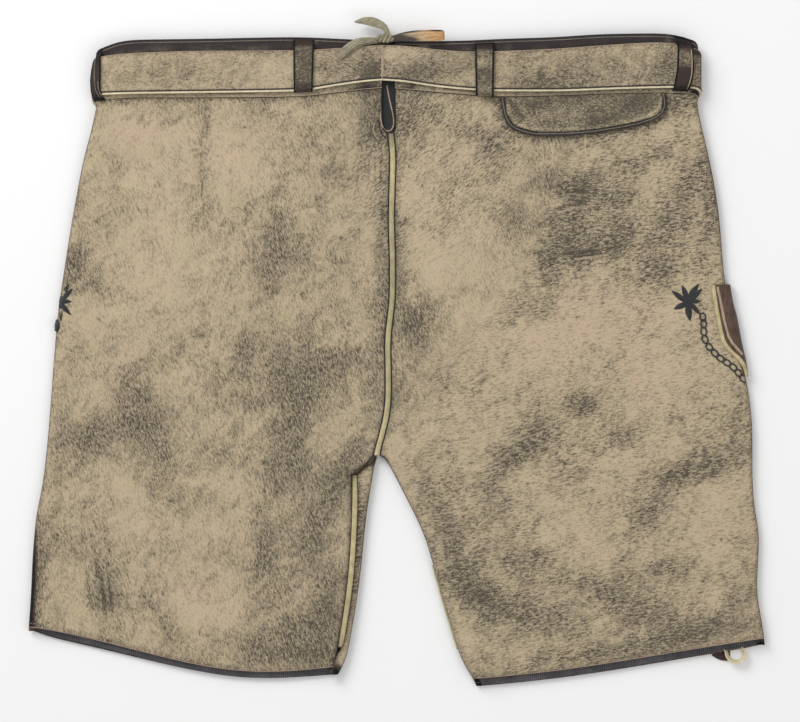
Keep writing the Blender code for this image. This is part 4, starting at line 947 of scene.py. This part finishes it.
def raised(mesh, shape, top):
    """Moves a mesh by a relief, all through its thickness, but not where it reaches down to the surface."""
    points = points_of(mesh)
    across, down = drafted(points)
    height = points[:, 2] / MM
    share = ease((height - 1.2) / 2.4) if top else ease((3.0 - height) / 1.5)
    points[:, 2] += shape(across, down) * share * MM
    points[:, 2] = np.maximum(points[:, 2], 0.0)
    put(mesh, points)


def written(mesh, name, values):
    layer = mesh.attributes.get(name) or mesh.attributes.new(name, "FLOAT", "POINT")
    layer.data.foreach_set("value", values.astype(np.float32))


def tinted(mesh, edge=1.0, fold=1.0, under=False, extra=None, reach=5.5, calm=0.0):
    """Writes the leather's darkness, paleness, brushing and burnished edges on a mesh, for the materials,
    with painted shade where its folds turn sideways.
    """
    points, normals = points_of(mesh), points_of(mesh, "normal")
    across, down = drafted(points)
    blackened = patches(FRONT_DARKEST if under else BURNISHED_AND_SHADED, across, down)
    if under:
        across, down = -across * 0.93 + 11, down * 0.96 + 14
    dark = patches(DARK, across, down)
    if extra is not None:
        dark = dark + extra(across, down)
    near = cut_edge_distance(mesh, points)
    burnish_and_shade = edge * (0.50 * np.exp(-((near / reach) ** 2)) + 0.42 * np.exp(-near / 1.1))
    burnish_and_shade *= 1 - calm * ease((WAIST_CALM - down) / 6)
    # Painted shade: the leather is darkened where its surface turns sideways over the folds, away from above
    sideways = 1 - np.abs(normals[:, 2])
    burnish_and_shade = np.maximum(burnish_and_shade, fold * 0.95 * ease((sideways - 0.05) / 0.75) * (near > 0.9))
    burnish_and_shade = np.maximum(burnish_and_shade, blackened)
    written(mesh, "dark", dark)
    written(mesh, "upper", np.full(len(points), 0.0 if under else 1.0))
    written(mesh, "pale", patches(PALE, across, down))
    written(mesh, "brushed", patches(BRUSHED, across, down))
    written(mesh, "burnish_and_shade", burnish_and_shade)


# ---------------------------------------------------------------- camera, light and floor


Light = namedtuple("Light", "name place size power")
LIGHTS = table(
    Light,
    ("key_light", (-1.5, 1.9, 1.6), 1.5, 56.0),
    ("fill_light", (1.6, -0.9, 2.0), 2.0, 12.0),
)
SKY = 0.56
FLOOR_WHITE = 0.93
FLOOR_HALF = 4.0
FLOOR_BELOW = 0.2


def camera_above():
    lens = bpy.data.cameras.new("camera")
    lens.sensor_width = SENSOR
    lens.lens = SENSOR * CAMERA_HEIGHT / VIEW_WIDTH
    camera = bpy.data.objects.new("camera", lens)
    camera.location = plan(VIEW_ACROSS, VIEW_DOWN) + Vector((0, 0, CAMERA_HEIGHT))
    bpy.context.scene.collection.objects.link(camera)
    bpy.context.scene.camera = camera


def daylight():
    """A white sky, and a soft light from each side that points at the middle."""
    world = bpy.data.worlds.new("world")
    world.use_nodes = True
    world.node_tree.nodes["Background"].inputs["Color"].default_value = (1, 1, 1, 1)
    world.node_tree.nodes["Background"].inputs["Strength"].default_value = SKY
    bpy.context.scene.world = world
    for row in LIGHTS:
        light = bpy.data.lights.new(row.name, "AREA")
        light.size = row.size
        light.energy = row.power
        lamp = bpy.data.objects.new(row.name, light)
        lamp.location = row.place
        lamp.rotation_euler = (-Vector(row.place)).to_track_quat("-Z", "Y").to_euler()
        bpy.context.scene.collection.objects.link(lamp)
    bpy.context.scene.view_settings.view_transform = "Standard"


def white_floor():
    mesh = bpy.data.meshes.new("floor")
    corners = [(x * FLOOR_HALF, y * FLOOR_HALF, 0) for x, y in ((-1, -1), (1, -1), (1, 1), (-1, 1))]
    mesh.from_pydata(corners, [], [(0, 1, 2, 3)])
    floor = bpy.data.objects.new("floor", mesh)
    bpy.context.scene.collection.objects.link(floor)
    paint = bpy.data.materials.new("floor_paint")
    paint.use_nodes = True
    inputs = paint.node_tree.nodes["Principled BSDF"].inputs
    inputs["Base Color"].default_value = (FLOOR_WHITE, FLOOR_WHITE, FLOOR_WHITE, 1)
    inputs["Roughness"].default_value = 0.9
    mesh.materials.append(paint)
    floor.location = (0, 0, -FLOOR_BELOW * MM)


camera_above()
daylight()
white_floor()


# ---------------------------------------------------------------- cords

# The section of a thong, as shares of its half width and its thickness
THONG_SECTION = (
    (-1.0, 0.15), (-0.86, 0.0), (0.0, 0.04), (0.86, 0.0), (1.0, 0.15), (1.0, 0.62), (0.80, 0.86),
    (0.0, 1.0), (-0.80, 0.86), (-1.0, 0.62),
)
Slice = namedtuple("Slice", "place side up")


def swept(stations, section):
    """A closed mesh of a section carried along stations, which give its place, its side and its up."""
    built = bmesh.new()
    rings = [[built.verts.new(at.place + at.side * x + at.up * y) for x, y in section] for at in stations]
    for a, b in zip(rings, rings[1:]):
        for j in range(len(section)):
            k = (j + 1) % len(section)
            built.faces.new((a[j], a[k], b[k], b[j]))
    built.faces.new(rings[0][::-1])
    built.faces.new(rings[-1])
    bmesh.ops.recalc_face_normals(built, faces=built.faces)
    mesh = bpy.data.meshes.new("swept")
    built.to_mesh(mesh)
    built.free()
    mesh.shade_smooth()
    mesh.set_sharp_from_angle(angle=math.radians(50))
    return mesh


def direction(points, i, flat=False):
    run = points[min(i + 1, len(points) - 1)] - points[max(i - 1, 0)]
    if flat:
        run.z = 0
    return run.normalized()


def line_of(bends):
    return [plan(bend.across, bend.down, bend.height) for bend in bends]


def lying_thong(name, rows, lean):
    """A tail of the lace, lying with its width level or leaning a little along its run."""
    bends = curved(rows, 44)
    low = line_of(bends)
    stations = []
    for i, bend in enumerate(bends):
        run = direction(low, i, flat=True)
        side = Vector((run.y, -run.x, lean * math.sin(i / 6))).normalized()
        stations.append(Slice(low[i], side * bend.wide / 2 * MM, Vector((0, 0, THONG * MM))))
    made = shown(name + "_thong", swept(stations, THONG_SECTION), "thong", name)


def folded_thong(name, rows):
    """The lace's loop, folded over at the far end, its width running down the garment."""
    bends = curved(rows, 90)
    middle = line_of(bends)
    stations = []
    for i, bend in enumerate(bends):
        run = direction(middle, i)
        out = Vector((run.z, 0, -run.x)).normalized()
        ripple = 0.14 * math.sin(i / 5.0)
        side = (Vector((0, -1, 0)) + out * ripple).normalized()
        inner = middle[i] - out * THONG / 2 * MM
        stations.append(Slice(inner, side * bend.wide / 2 * MM, out * THONG * MM))
    made = shown(name + "_thong", swept(stations, THONG_SECTION), "tan", name)
    across, down = drafted(points_of(made.data))
    written(made.data, "dark", patches(LACE_MARKS, across, down))
    written(made.data, "warm", ease((across - 6) / 32))


def hem_band(name, rows):
    """The loop of the right hem's lace, a band standing on its edge, which goes into the hem at both ends."""
    bends = curved(rows, 60)
    foot = line_of(bends)
    stations, middle = [], []
    for i, bend in enumerate(bends):
        run = direction(foot, i, flat=True)
        out = Vector((run.y, -run.x, 0))
        rise = Vector((0, 0, bend.wide)) + out * HEM_LACE_LEAN * bend.wide / HEM_LACE_WIDTH
        centre = foot[i] + rise / 2 * MM
        middle.append(centre + out * HEM_LACE / 2 * MM)
        stations.append(Slice(centre, rise / 2 * MM, out * HEM_LACE * MM))
    made = shown("hem_lace_band", swept(stations, THONG_SECTION), "cream", name)


lying_thong("lace_tail_upper", LACE_TAIL_UPPER, 0.16)
lying_thong("lace_tail_lower", LACE_TAIL_LOWER, 0.10)
folded_thong("lace_loop", LACE_LOOP)
hem_band("hem_lace_loop", HEM_LACE_LOOP)


# ---------------------------------------------------------------- leather pieces


def painted_back_shade(across, down):
    """Painted shade on the back's panels below the waistband and round the pocket's flap."""
    low = between(WAIST_BACK, "across", "band_low", across)
    uneven = 0.75 + 0.7 * rippled(across, down, length=22, seed=4.5)
    shade = 0.75 * uneven * np.exp(-np.clip(down - low - 1, 0, 60) / 4.5)
    return shade + 1.7 * np.exp(-beside_line(FLAP_LINE, across, down) / 4.4)


def flap_shade(across, down):
    """The pocket flap's fold marks, partly painted shade and highlight, and its paler edge."""
    edge = beside_line(FLAP_LINE, across, down)
    return patches(FLAP_MARKS, across, down) - 0.55 * np.exp(-(((edge - 3.6) / 1.6) ** 2))


def painted_vent_shade(across, down):
    """Painted shade on the piece behind the vent: darker at its top, under the waistband, and along its right
    side.
    """
    rim = between(VENT_RIM[:5], "down", "across", down)
    return 0.9 * (1 - ease((down - 46) / 26)) + 1.2 * ease((across - rim) / 1.2)


def widened(across, down):
    """Draws the pocket's flap down a little, and its right corner out."""
    corner = np.exp(-(((across - 217) / 9) ** 2) - ((down - 67) / 7) ** 2)
    return across + 2.2 * corner, down + 1.8 * ease((down - 50) / 20)


def lifted_top(across, down):
    """Draws the top of the piece behind the vent up to the waistband's edge."""
    return across, down - 3.2 * (1 - ease((down - 8.6) / 10))


def drawn_out(across, down):
    """Widens the knife pocket's bag a little where its mouth turns."""
    return across - 2.4 * np.exp(-(((down - 257) / 8) ** 2)) * ease((286 - across) / 9), down


def sewn_down(mesh):
    """Sinks what lies beyond the knife pocket's mouth into the panel below it."""
    points = points_of(mesh)
    across, down = drafted(points)
    mouth = between(KNIFE_WELT, "down", "across", down)
    axis = between(KNIFE_FOLD, "down", "across", down) - ROLL
    out = np.stack([np.clip(across - axis, 0, None), np.zeros(len(down)), points[:, 2] / MM - PIVOT], 1)
    out /= np.linalg.norm(out, axis=1)[:, None]
    put(mesh, points - out * (SEWN_DOWN * ease((mouth + 0.4 - across) / 1.4) * MM)[:, None])


def knotted(mesh):
    """Draws the knot out into several turns of the thong, with painted shade in the gaps between them."""
    points, normals = points_of(mesh), points_of(mesh, "normal")
    across, down = drafted(points)
    turns = np.sin((across + 0.55 * down) * 2 * math.pi / KNOT_TURN)
    put(mesh, points + normals * (0.42 * turns * MM)[:, None])
    # Painted shade in the hollows between the turns
    written(mesh, "burnish_and_shade", np.clip(-turns * 0.9 - 0.2, 0, 1))


def dressed(node, material, slot, levels=3, outer_too=False, shape=None, top=True, fit=None, **tint):
    """The piece that stands for a node: a finer copy of it, fitted in plan, raised by a shape and tinted."""
    mesh = finer(node, levels, outer_too)
    if fit:
        replanned(mesh, fit)
    if shape:
        raised(mesh, shape, top)
    tinted(mesh, **tint)
    return shown(node + "_leather", mesh, material, node).data


def waistband(layer, side, rows):
    """A part of the waistband, whose leather is suede below the belt's lower edge."""
    mesh = dressed(f"waistband_{layer}_{side}", "band", "dark_leather", edge=0.5, fold=0.3)
    across, down = drafted(points_of(mesh))
    below = ease((down - between(rows, "across", "belt_low", across) + 1.0) / 1.2)
    written(mesh, "below_belt", below)
    burnish_and_shade = np.zeros(len(across))
    mesh.attributes["burnish_and_shade"].data.foreach_get("value", burnish_and_shade)
    # Painted shadow under the belt's lower edge
    written(mesh, "burnish_and_shade", np.maximum(burnish_and_shade * (1 - below), patches(SHADOWS_UNDER_BELT, across, down)))


def belt_loop(name):
    """A belt loop with burnt edges, and ends that turn black."""
    rows = STRAPS[name]
    mesh = dressed(name, "loop", "suede", fit=fitted(rows))
    across, down = drafted(points_of(mesh))
    left, right = (between(rows, "down", side, down) for side in ("left", "right"))
    share = (down - rows[0].down) / (rows[-1].down - rows[0].down)
    dark = np.interp(share, *zip(*TONES[name]))
    edges = 1.6 * (1 - ease((np.minimum(across - left, right - across) - 1.1) / 0.9))
    written(mesh, "dark", dark)
    written(mesh, "burnish_and_shade", np.maximum(edges, (dark - 0.95) * 1.6))


SIDES = ("left", "right")
PIPING = {"shape": relief, "levels": 2, "edge": 0.6, "fold": 0.45, "reach": 0.9}

for side in SIDES:
    panel = {"levels": 2, "calm": 1.0}
    dressed("back_" + side, "suede", "suede", outer_too=True, shape=relief, extra=painted_back_shade, **panel)
    dressed("front_" + side, "suede", "suede", shape=under_relief, top=False, under=True, **panel)
    dressed("belt_" + side, "belt", "suede", edge=0.6, reach=3.0)
    waistband("back", side, WAIST_BACK)
    waistband("front", side, WAIST_FRONT)
    dressed("hem_facing_" + side, "facing", "lining", edge=0.3, fold=0.2)
    dressed("piping_inseam_" + side, "piping", "piping", **PIPING)
for name in TONES:
    belt_loop(name)
dressed("piping_centre_back", "piping", "piping", **PIPING)
dressed("knife_pocket", "dark", "dark_leather", shape=relief, fit=drawn_out, edge=0.4, fold=0.4)
flap = {"shape": relief, "fit": widened}
dressed("pocket_flap", "flap", "suede", edge=0.5, fold=0.5, reach=2.0, extra=flap_shade, **flap)
dressed("pocket_flap_piping", "flap", "suede", levels=2, edge=1.0, fold=0.8, reach=1.0, **flap)
dressed("vent_gusset", "navy", "dark_leather", fit=lifted_top, edge=0.3, fold=0.3, extra=painted_vent_shade)
knotted(dressed("lace_knot", "thong", "thong", fit=fitted(STRAPS["lace_knot"]), edge=0.2, fold=0.2))
dressed("hem_lace_end", "maroon", "dark_leather", edge=0.5, fold=0.3)


# ---------------------------------------------------------------- lines on the pieces


def mesh_of(piece):
    return PIECES[piece].data


TREES = {}


def tree_of(piece):
    if piece not in TREES:
        built = bmesh.new()
        built.from_mesh(mesh_of(piece))
        TREES[piece] = BVHTree.FromBMesh(built)
        built.free()
    return TREES[piece]


def touched(pieces, across, down, turn=0.0, pivot=None):
    """Where a line from above meets the pieces, and the normal there; it may be turned round a pivot."""
    angle = math.radians(turn)
    away = Vector((math.sin(angle), 0, math.cos(angle)))
    start = (plan(across, down) if pivot is None else pivot) + away * 0.1
    best = None
    for piece in pieces:
        place, normal, _, far = tree_of(piece).ray_cast(start, -away)
        if place is not None and (best is None or far < best[2]):
            best = (place, normal, far)
    return best[:2] if best else None


def laid(pieces, rows, step):
    """Rims along a line of plan points, lying on the pieces, outward being to the right of the line's run."""
    line = [plan(*row) for row in rows]
    spots = []
    for i, share in even_steps(line, step, 3):
        spot = line[i].lerp(line[i + 1], share)
        found = touched(pieces, spot.x / MM + MIDDLE_ACROSS, MIDDLE_DOWN - spot.y / MM)
        if found:
            spots.append(found)
    rims = []
    for i, (place, normal) in enumerate(spots):
        run = spots[min(i + 1, len(spots) - 1)][0] - spots[max(i - 1, 0)][0]
        rims.append(Rim(place, normal, run.cross(normal).normalized()))
    return rims


# ---------------------------------------------------------------- sewing

# A stitch: stations along it, in shares of its length, and its height and thickness there, in its radius
STITCH = ((-0.5, -0.7, 0.35), (-0.38, 0.15, 0.85), (0.0, 0.5, 1.0), (0.38, 0.15, 0.85), (0.5, -0.7, 0.35))
STITCH_SIDES = 6


def threads(name, runs, radius, material):
    """One piece of many short threads, each a run with its start, its end and its up direction."""
    points, faces = [], []
    for start, end, up in runs:
        run = end - start
        side = run.cross(up).normalized()
        first = len(points)
        for at, lift, thick in STITCH:
            middle = start + run * (at + 0.5) + up * lift * radius * MM
            for k in range(STITCH_SIDES):
                angle = 2 * math.pi * k / STITCH_SIDES
                off = side * math.cos(angle) + up * math.sin(angle)
                points.append(middle + off * thick * radius * MM)
        for ring in range(len(STITCH) - 1):
            a = first + ring * STITCH_SIDES
            for k in range(STITCH_SIDES):
                n = (k + 1) % STITCH_SIDES
                faces.append((a + k, a + n, a + STITCH_SIDES + n, a + STITCH_SIDES + k))
        last = first + (len(STITCH) - 1) * STITCH_SIDES
        faces.append(tuple(range(first + STITCH_SIDES - 1, first - 1, -1)))
        faces.append(tuple(range(last, last + STITCH_SIDES)))
    mesh = bpy.data.meshes.new(name)
    mesh.from_pydata([(x, y, max(z, 0.0)) for x, y, z in points], [], faces)
    mesh.shade_smooth()
    return shown(name, mesh, material)


def stitch_runs(rims, inset, long=2.3, gap=0.9, lift=0.05):
    """Stitches along rims, inset millimetres inside them."""
    line = moved_in(spaced(rims, (long + gap) / 2), inset, lift)
    found = []
    for a, b in zip(line[::2], line[1::2]):
        run = b.place - a.place
        half = run * (long / max(run.length / MM, 1e-6)) / 2
        middle = (a.place + b.place) / 2
        found.append((middle - half, middle + half, (a.normal + b.normal).normalized()))
    return found


# Sections of edge finishes and strips: outward and up, in millimetres
RAW_EDGE = ((-1.2, -0.1), (-1.0, 0.2), (-0.4, 0.34), (0.12, 0.2), (0.25, -0.3), (0.25, -1.6), (-0.4, -1.6))
FINE_EDGE = ((-0.5, -0.1), (-0.3, 0.14), (0.02, 0.1), (0.16, -0.15), (0.16, -1.0), (-0.3, -1.0))
DARK_EDGE = ((-0.9, -0.1), (-0.6, 0.12), (0.02, 0.1), (0.2, -0.15), (0.2, -1.2), (-0.3, -1.2))
ROSE_EDGE = ((-1.1, -0.1), (-0.9, 0.25), (0.0, 0.4), (0.9, 0.25), (1.1, -0.1), (0.8, -0.5), (-0.8, -0.5))
RIM_ROUND = ((-0.6, -0.2), (-0.5, 0.7), (0.0, 1.0), (0.5, 0.7), (0.6, -0.2))
WRINKLE = ((-0.6, -0.3), (-0.4, 0.22), (0.0, 0.34), (0.4, 0.22), (0.6, -0.3))
FOLD_LINE = ((-0.35, -0.1), (-0.2, 0.10), (0.2, 0.10), (0.35, -0.1))
GROOVE = ((-0.55, -0.2), (-0.4, 0.12), (0.4, 0.12), (0.55, -0.2))
LINE = ((-0.45, -0.3), (-0.35, 0.16), (0.0, 0.26), (0.35, 0.16), (0.45, -0.3))
WELT = ((-1.9, -1.9), (-1.8, -0.4), (-1.1, 0.5), (0.0, 0.8), (1.1, 0.5), (1.7, -0.2), (1.7, -0.8))


def in_plan(rows, count):
    """Plan points, evenly spread over a smooth line through a few."""
    return [bend[:2] for bend in curved([Bend(across, down, 0, 0) for across, down in rows], count)]


def edged(name, rims, section, material, step=2.0):
    """A cut edge's finish, or a strip, along rims."""
    path = [Slice(rim.place, rim.outward * MM, rim.normal * MM) for rim in spaced(rims, step)]
    made = shown(name, swept(path, section), material)
    points = points_of(made.data)
    points[:, 2] = np.maximum(points[:, 2], 0.0)
    made.data.vertices.foreach_set("co", points.ravel())
    return made


BACKWARD, FORWARD, LEFTWARD, RIGHTWARD = (0, -1, 0), (0, 1, 0), (-1, 0, 0), (1, 0, 0)
SEWN = {"thread_dark": [], "thread_tan": []}


def near_middle(reach, middle=0.0, above=-math.inf, behind=-math.inf):
    """A test of places: within reach of a line up the middle, higher than above, and back beyond behind."""
    return lambda place: abs(place.x - middle) < reach and place.z > above and place.y > behind


def at_hem(place):
    return place.y < -0.18


def belt_edges(side, inner):
    """The belt's cut edges, a black strip of painted shade for the groove along the lower one, the stitches
    there, and its joint at centre back.
    """
    belt = mesh_of("belt_" + side)
    low, top = rim_line(belt, BACKWARD), rim_line(belt, FORWARD)
    edged("belt_raw_edge_" + side, low, RAW_EDGE, "cream")
    edged("belt_top_edge_" + side, top, FINE_EDGE, "rose")
    # A black strip that paints the shade in the stitch groove
    edged("belt_groove_shadow_" + side, moved_in(low, 2.0), GROOVE, "black")
    SEWN["thread_dark"] += stitch_runs(low, 2.5, long=2.6, gap=0.4)
    joint = rim_line(belt, inner, near_middle(0.03, above=0.008))
    edged("belt_joint_" + side, joint, DARK_EDGE, "tan_rim_and_highlight")


def waistband_edges(side):
    """The cut edges of the waistband's back, and the line sewn along its top."""
    band = mesh_of("waistband_back_" + side)
    top, lower = rim_line(band, FORWARD), rim_line(band, BACKWARD)
    edged("waistband_edge_" + side, top, DARK_EDGE, "black")
    edged("waistband_line_" + side, moved_in(top, 2.3), LINE, "dull_rim")
    edged("waistband_low_edge_" + side, lower, FINE_EDGE, "tan_rim_and_highlight")


def panel_edges(side, inner):
    """The panels' cut edges and stitches, at the centre seams and the hems."""
    back, front = mesh_of("back_" + side), mesh_of("front_" + side)
    seam = rim_line(back, inner, near_middle(0.035, behind=-0.086))
    # A black strip along the seam: the burnished cut edge, with painted shadow beside the piping
    edged("seam_edge_" + side, seam, DARK_EDGE, "black")
    hem = rim_line(back, BACKWARD, at_hem)
    edged("hem_edge_" + side, hem, FINE_EDGE, "rose")
    SEWN["thread_tan"] += stitch_runs(hem, 3.2, long=2.0, gap=1.0)
    SEWN["thread_tan"] += stitch_runs(rim_line(front, inner, near_middle(0.01, -0.0125)), 2.2, gap=1.0)
    SEWN["thread_tan"] += stitch_runs(rim_line(front, BACKWARD, at_hem), 3.2, gap=1.0)


def flap_edges():
    """The pocket flap's rim, with a black strip of painted shade on each side of it."""
    rim = laid(("pocket_flap_piping", "pocket_flap", "back_right"), in_plan(FLAP_LINE, 90), 2.0)
    edged("pocket_flap_line", rim, LINE, "dull_rim", 1.5)
    # Painted shade lines along both sides of the rim
    for way, aside in (("inner", -1.1), ("outer", 1.1)):
        edged("pocket_flap_groove_shadow_" + way, moved_in(rim, aside), GROOVE, "black", 1.5)


def knife_pocket_edges():
    """The band and the piping of the knife pocket's mouth, which the bag goes down beyond."""
    bag = ("knife_pocket", "back_right")
    edged("knife_pocket_band", laid(bag[:1], KNIFE_BAND, 2.0), ROSE_EDGE, "rose", 2.0)
    rims = laid(bag, in_plan(KNIFE_WELT, 40), 2.0)
    welt = edged("knife_pocket_piping_leather", rims, WELT, "piping", 1.5)
    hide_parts("knife_pocket_piping")
    sewn_down(mesh_of("knife_pocket"))


for side, inner in (("left", RIGHTWARD), ("right", LEFTWARD)):
    belt_edges(side, inner)
    waistband_edges(side)
    panel_edges(side, inner)
for loop in ("loop_left_back", "loop_right_back", "loop_right_side"):
    for way in (LEFTWARD, RIGHTWARD):
        SEWN["thread_dark"] += stitch_runs(rim_line(mesh_of(loop), way), 1.5, long=2.0, gap=0.6)
threads("sewing_dark", SEWN["thread_dark"], 0.34, "thread_dark")
threads("sewing_tan", SEWN["thread_tan"], 0.22, "thread_tan")
edged("lace_fold", laid(("lace_tail_lower",), LACE_FOLD, 1.5), FOLD_LINE, "thong_dark", 1.5)
edged("vent_rim", laid(("vent_gusset", "back_left"), VENT_RIM, 1.5), RIM_ROUND, "tan_rim_and_highlight", 1.0)
knife_pocket_edges()
for kind, section, rows in (("line", LINE, LOOP_LINES), ("wrinkle_shading", WRINKLE, WRINKLES)):
    for i, row in enumerate(rows):
        rims = laid((row.piece,), in_plan(row.points, 16), 1.5)
        edged(f"{row.piece}_{kind}_{i}", rims, section, row.material, 1.5)
flap_edges()


# ---------------------------------------------------------------- embroidery


def stitch_between(find, first, last):
    """A stitch between two plan points, or none off the leather; find gives a point's place and normal."""
    a, b = find(*first), find(*last)
    return [(a[0], b[0], (a[1] + b[1]).normalized())] if a and b else []


def leaf_stitches(find, centre, leaf):
    """Satin stitches across a leaf that starts beside the sprig's centre."""
    turn = math.radians(leaf.turn)
    run, aside = (math.cos(turn), -math.sin(turn)), (math.sin(turn), math.cos(turn))
    count = round(leaf.long / SATIN_STEP)
    found = []
    for i in range(count):
        share = (i + 0.5) / count
        wide = leaf.wide / 2 * math.sin(math.pi * share**0.8) ** 0.7
        bow = leaf.bow * share * share
        ends = []
        for way in (-1, 1):
            far, off = SPRIG_HEART + share * leaf.long + way * SATIN_LEAN, way * wide + bow
            ends.append([centre[k] + run[k] * far + aside[k] * off for k in (0, 1)])
        found += stitch_between(find, *ends)
    return found


def heart_stitches(find, centre):
    """The sprig's middle, a few short stitches beside each other."""
    found = []
    for x in np.arange(HEART_STEP - HEART_ACROSS, HEART_ACROSS - 0.6, HEART_STEP):
        high = HEART_DOWN * math.sqrt(1 - (x / HEART_ACROSS) ** 2)
        found += stitch_between(find, *((centre[0] + x, centre[1] + way * high) for way in (-1, 1)))
    return found


def link_stitches(find, middle, run):
    """An open link of the chain, stitched round an oval."""
    spots = []
    for k in range(LINK_STITCHES + 1):
        angle = 2 * math.pi * k / LINK_STITCHES
        far, off = LINK_LONG / 2 * math.cos(angle), LINK_WIDE / 2 * math.sin(angle)
        spots.append((middle[0] + run[0] * far - run[1] * off, middle[1] + run[1] * far + run[0] * off))
    return [stitch for first, last in zip(spots, spots[1:]) for stitch in stitch_between(find, first, last)]


def on_back(across, down):
    return touched(("back_right", "front_right"), across, down)


def round_left(across, down):
    """The same on the left, where what lies beyond the fold goes on round it."""
    fold = LEFT_FOLD + ROLL + LEFT_FOLD_SLOPE * (down - LEFT_SPRIG[1])
    if across > fold:
        return touched(("back_left",), across, down)
    pivot = plan(fold, down, PIVOT)
    return touched(("back_left", "front_left"), across, down, -math.degrees((fold - across) / ROLL), pivot)


worked = []
for find, centre in ((on_back, RIGHT_SPRIG), (round_left, LEFT_SPRIG)):
    worked += heart_stitches(find, centre)
    for leaf in LEAVES:
        worked += leaf_stitches(find, centre, leaf)
threads("embroidery", worked, 0.45, "thread_green")
linked = []
for i, middle in enumerate(CHAIN):
    before, after = CHAIN[max(i - 1, 0)], CHAIN[min(i + 1, len(CHAIN) - 1)]
    run = Vector((after[0] - before[0], after[1] - before[1])).normalized()
    linked += link_stitches(on_back, middle, run)
threads("chain_embroidery", linked, 0.78, "thread_green")
threads("embroidery_bud", heart_stitches(round_left, LEFT_BUD), 1.7, "thread_green")


# ---------------------------------------------------------------- what is cloth

# The cut of each sheet: the width and length that it is cut from, and its own flat area, in metres
Cut = namedtuple("Cut", "piece across down area")
CUTS = table(
    Cut,
    ("back_left", 0.300, 0.483, 0.1225),
    ("back_right", 0.319, 0.489, 0.1298),
    ("front_left", 0.300, 0.474, 0.1232),
    ("front_right", 0.318, 0.486, 0.1314),
    ("belt_left", 0.486, 0.036, 0.0165),
    ("belt_right", 0.492, 0.037, 0.0178),
    ("waistband_back_left", 0.240, 0.050, 0.0112),
    ("waistband_back_right", 0.252, 0.050, 0.0118),
    ("waistband_front_left", 0.240, 0.046, 0.0105),
    ("waistband_front_right", 0.262, 0.046, 0.0117),
    ("hem_facing_left", 0.256, 0.024, 0.0059),
    ("hem_facing_right", 0.243, 0.024, 0.0056),
    ("loop_left_back", 0.0170, 0.050, None),
    ("loop_right_back", 0.0160, 0.050, None),
    ("loop_right_side", 0.0145, 0.052, None),
    ("loop_left_side", 0.0140, 0.054, None),
    ("pocket_flap", 0.130, 0.032, 0.0034),
    ("vent_gusset", 0.022, 0.082, 0.0017),
    ("knife_pocket", 0.024, 0.077, 0.0014),
)
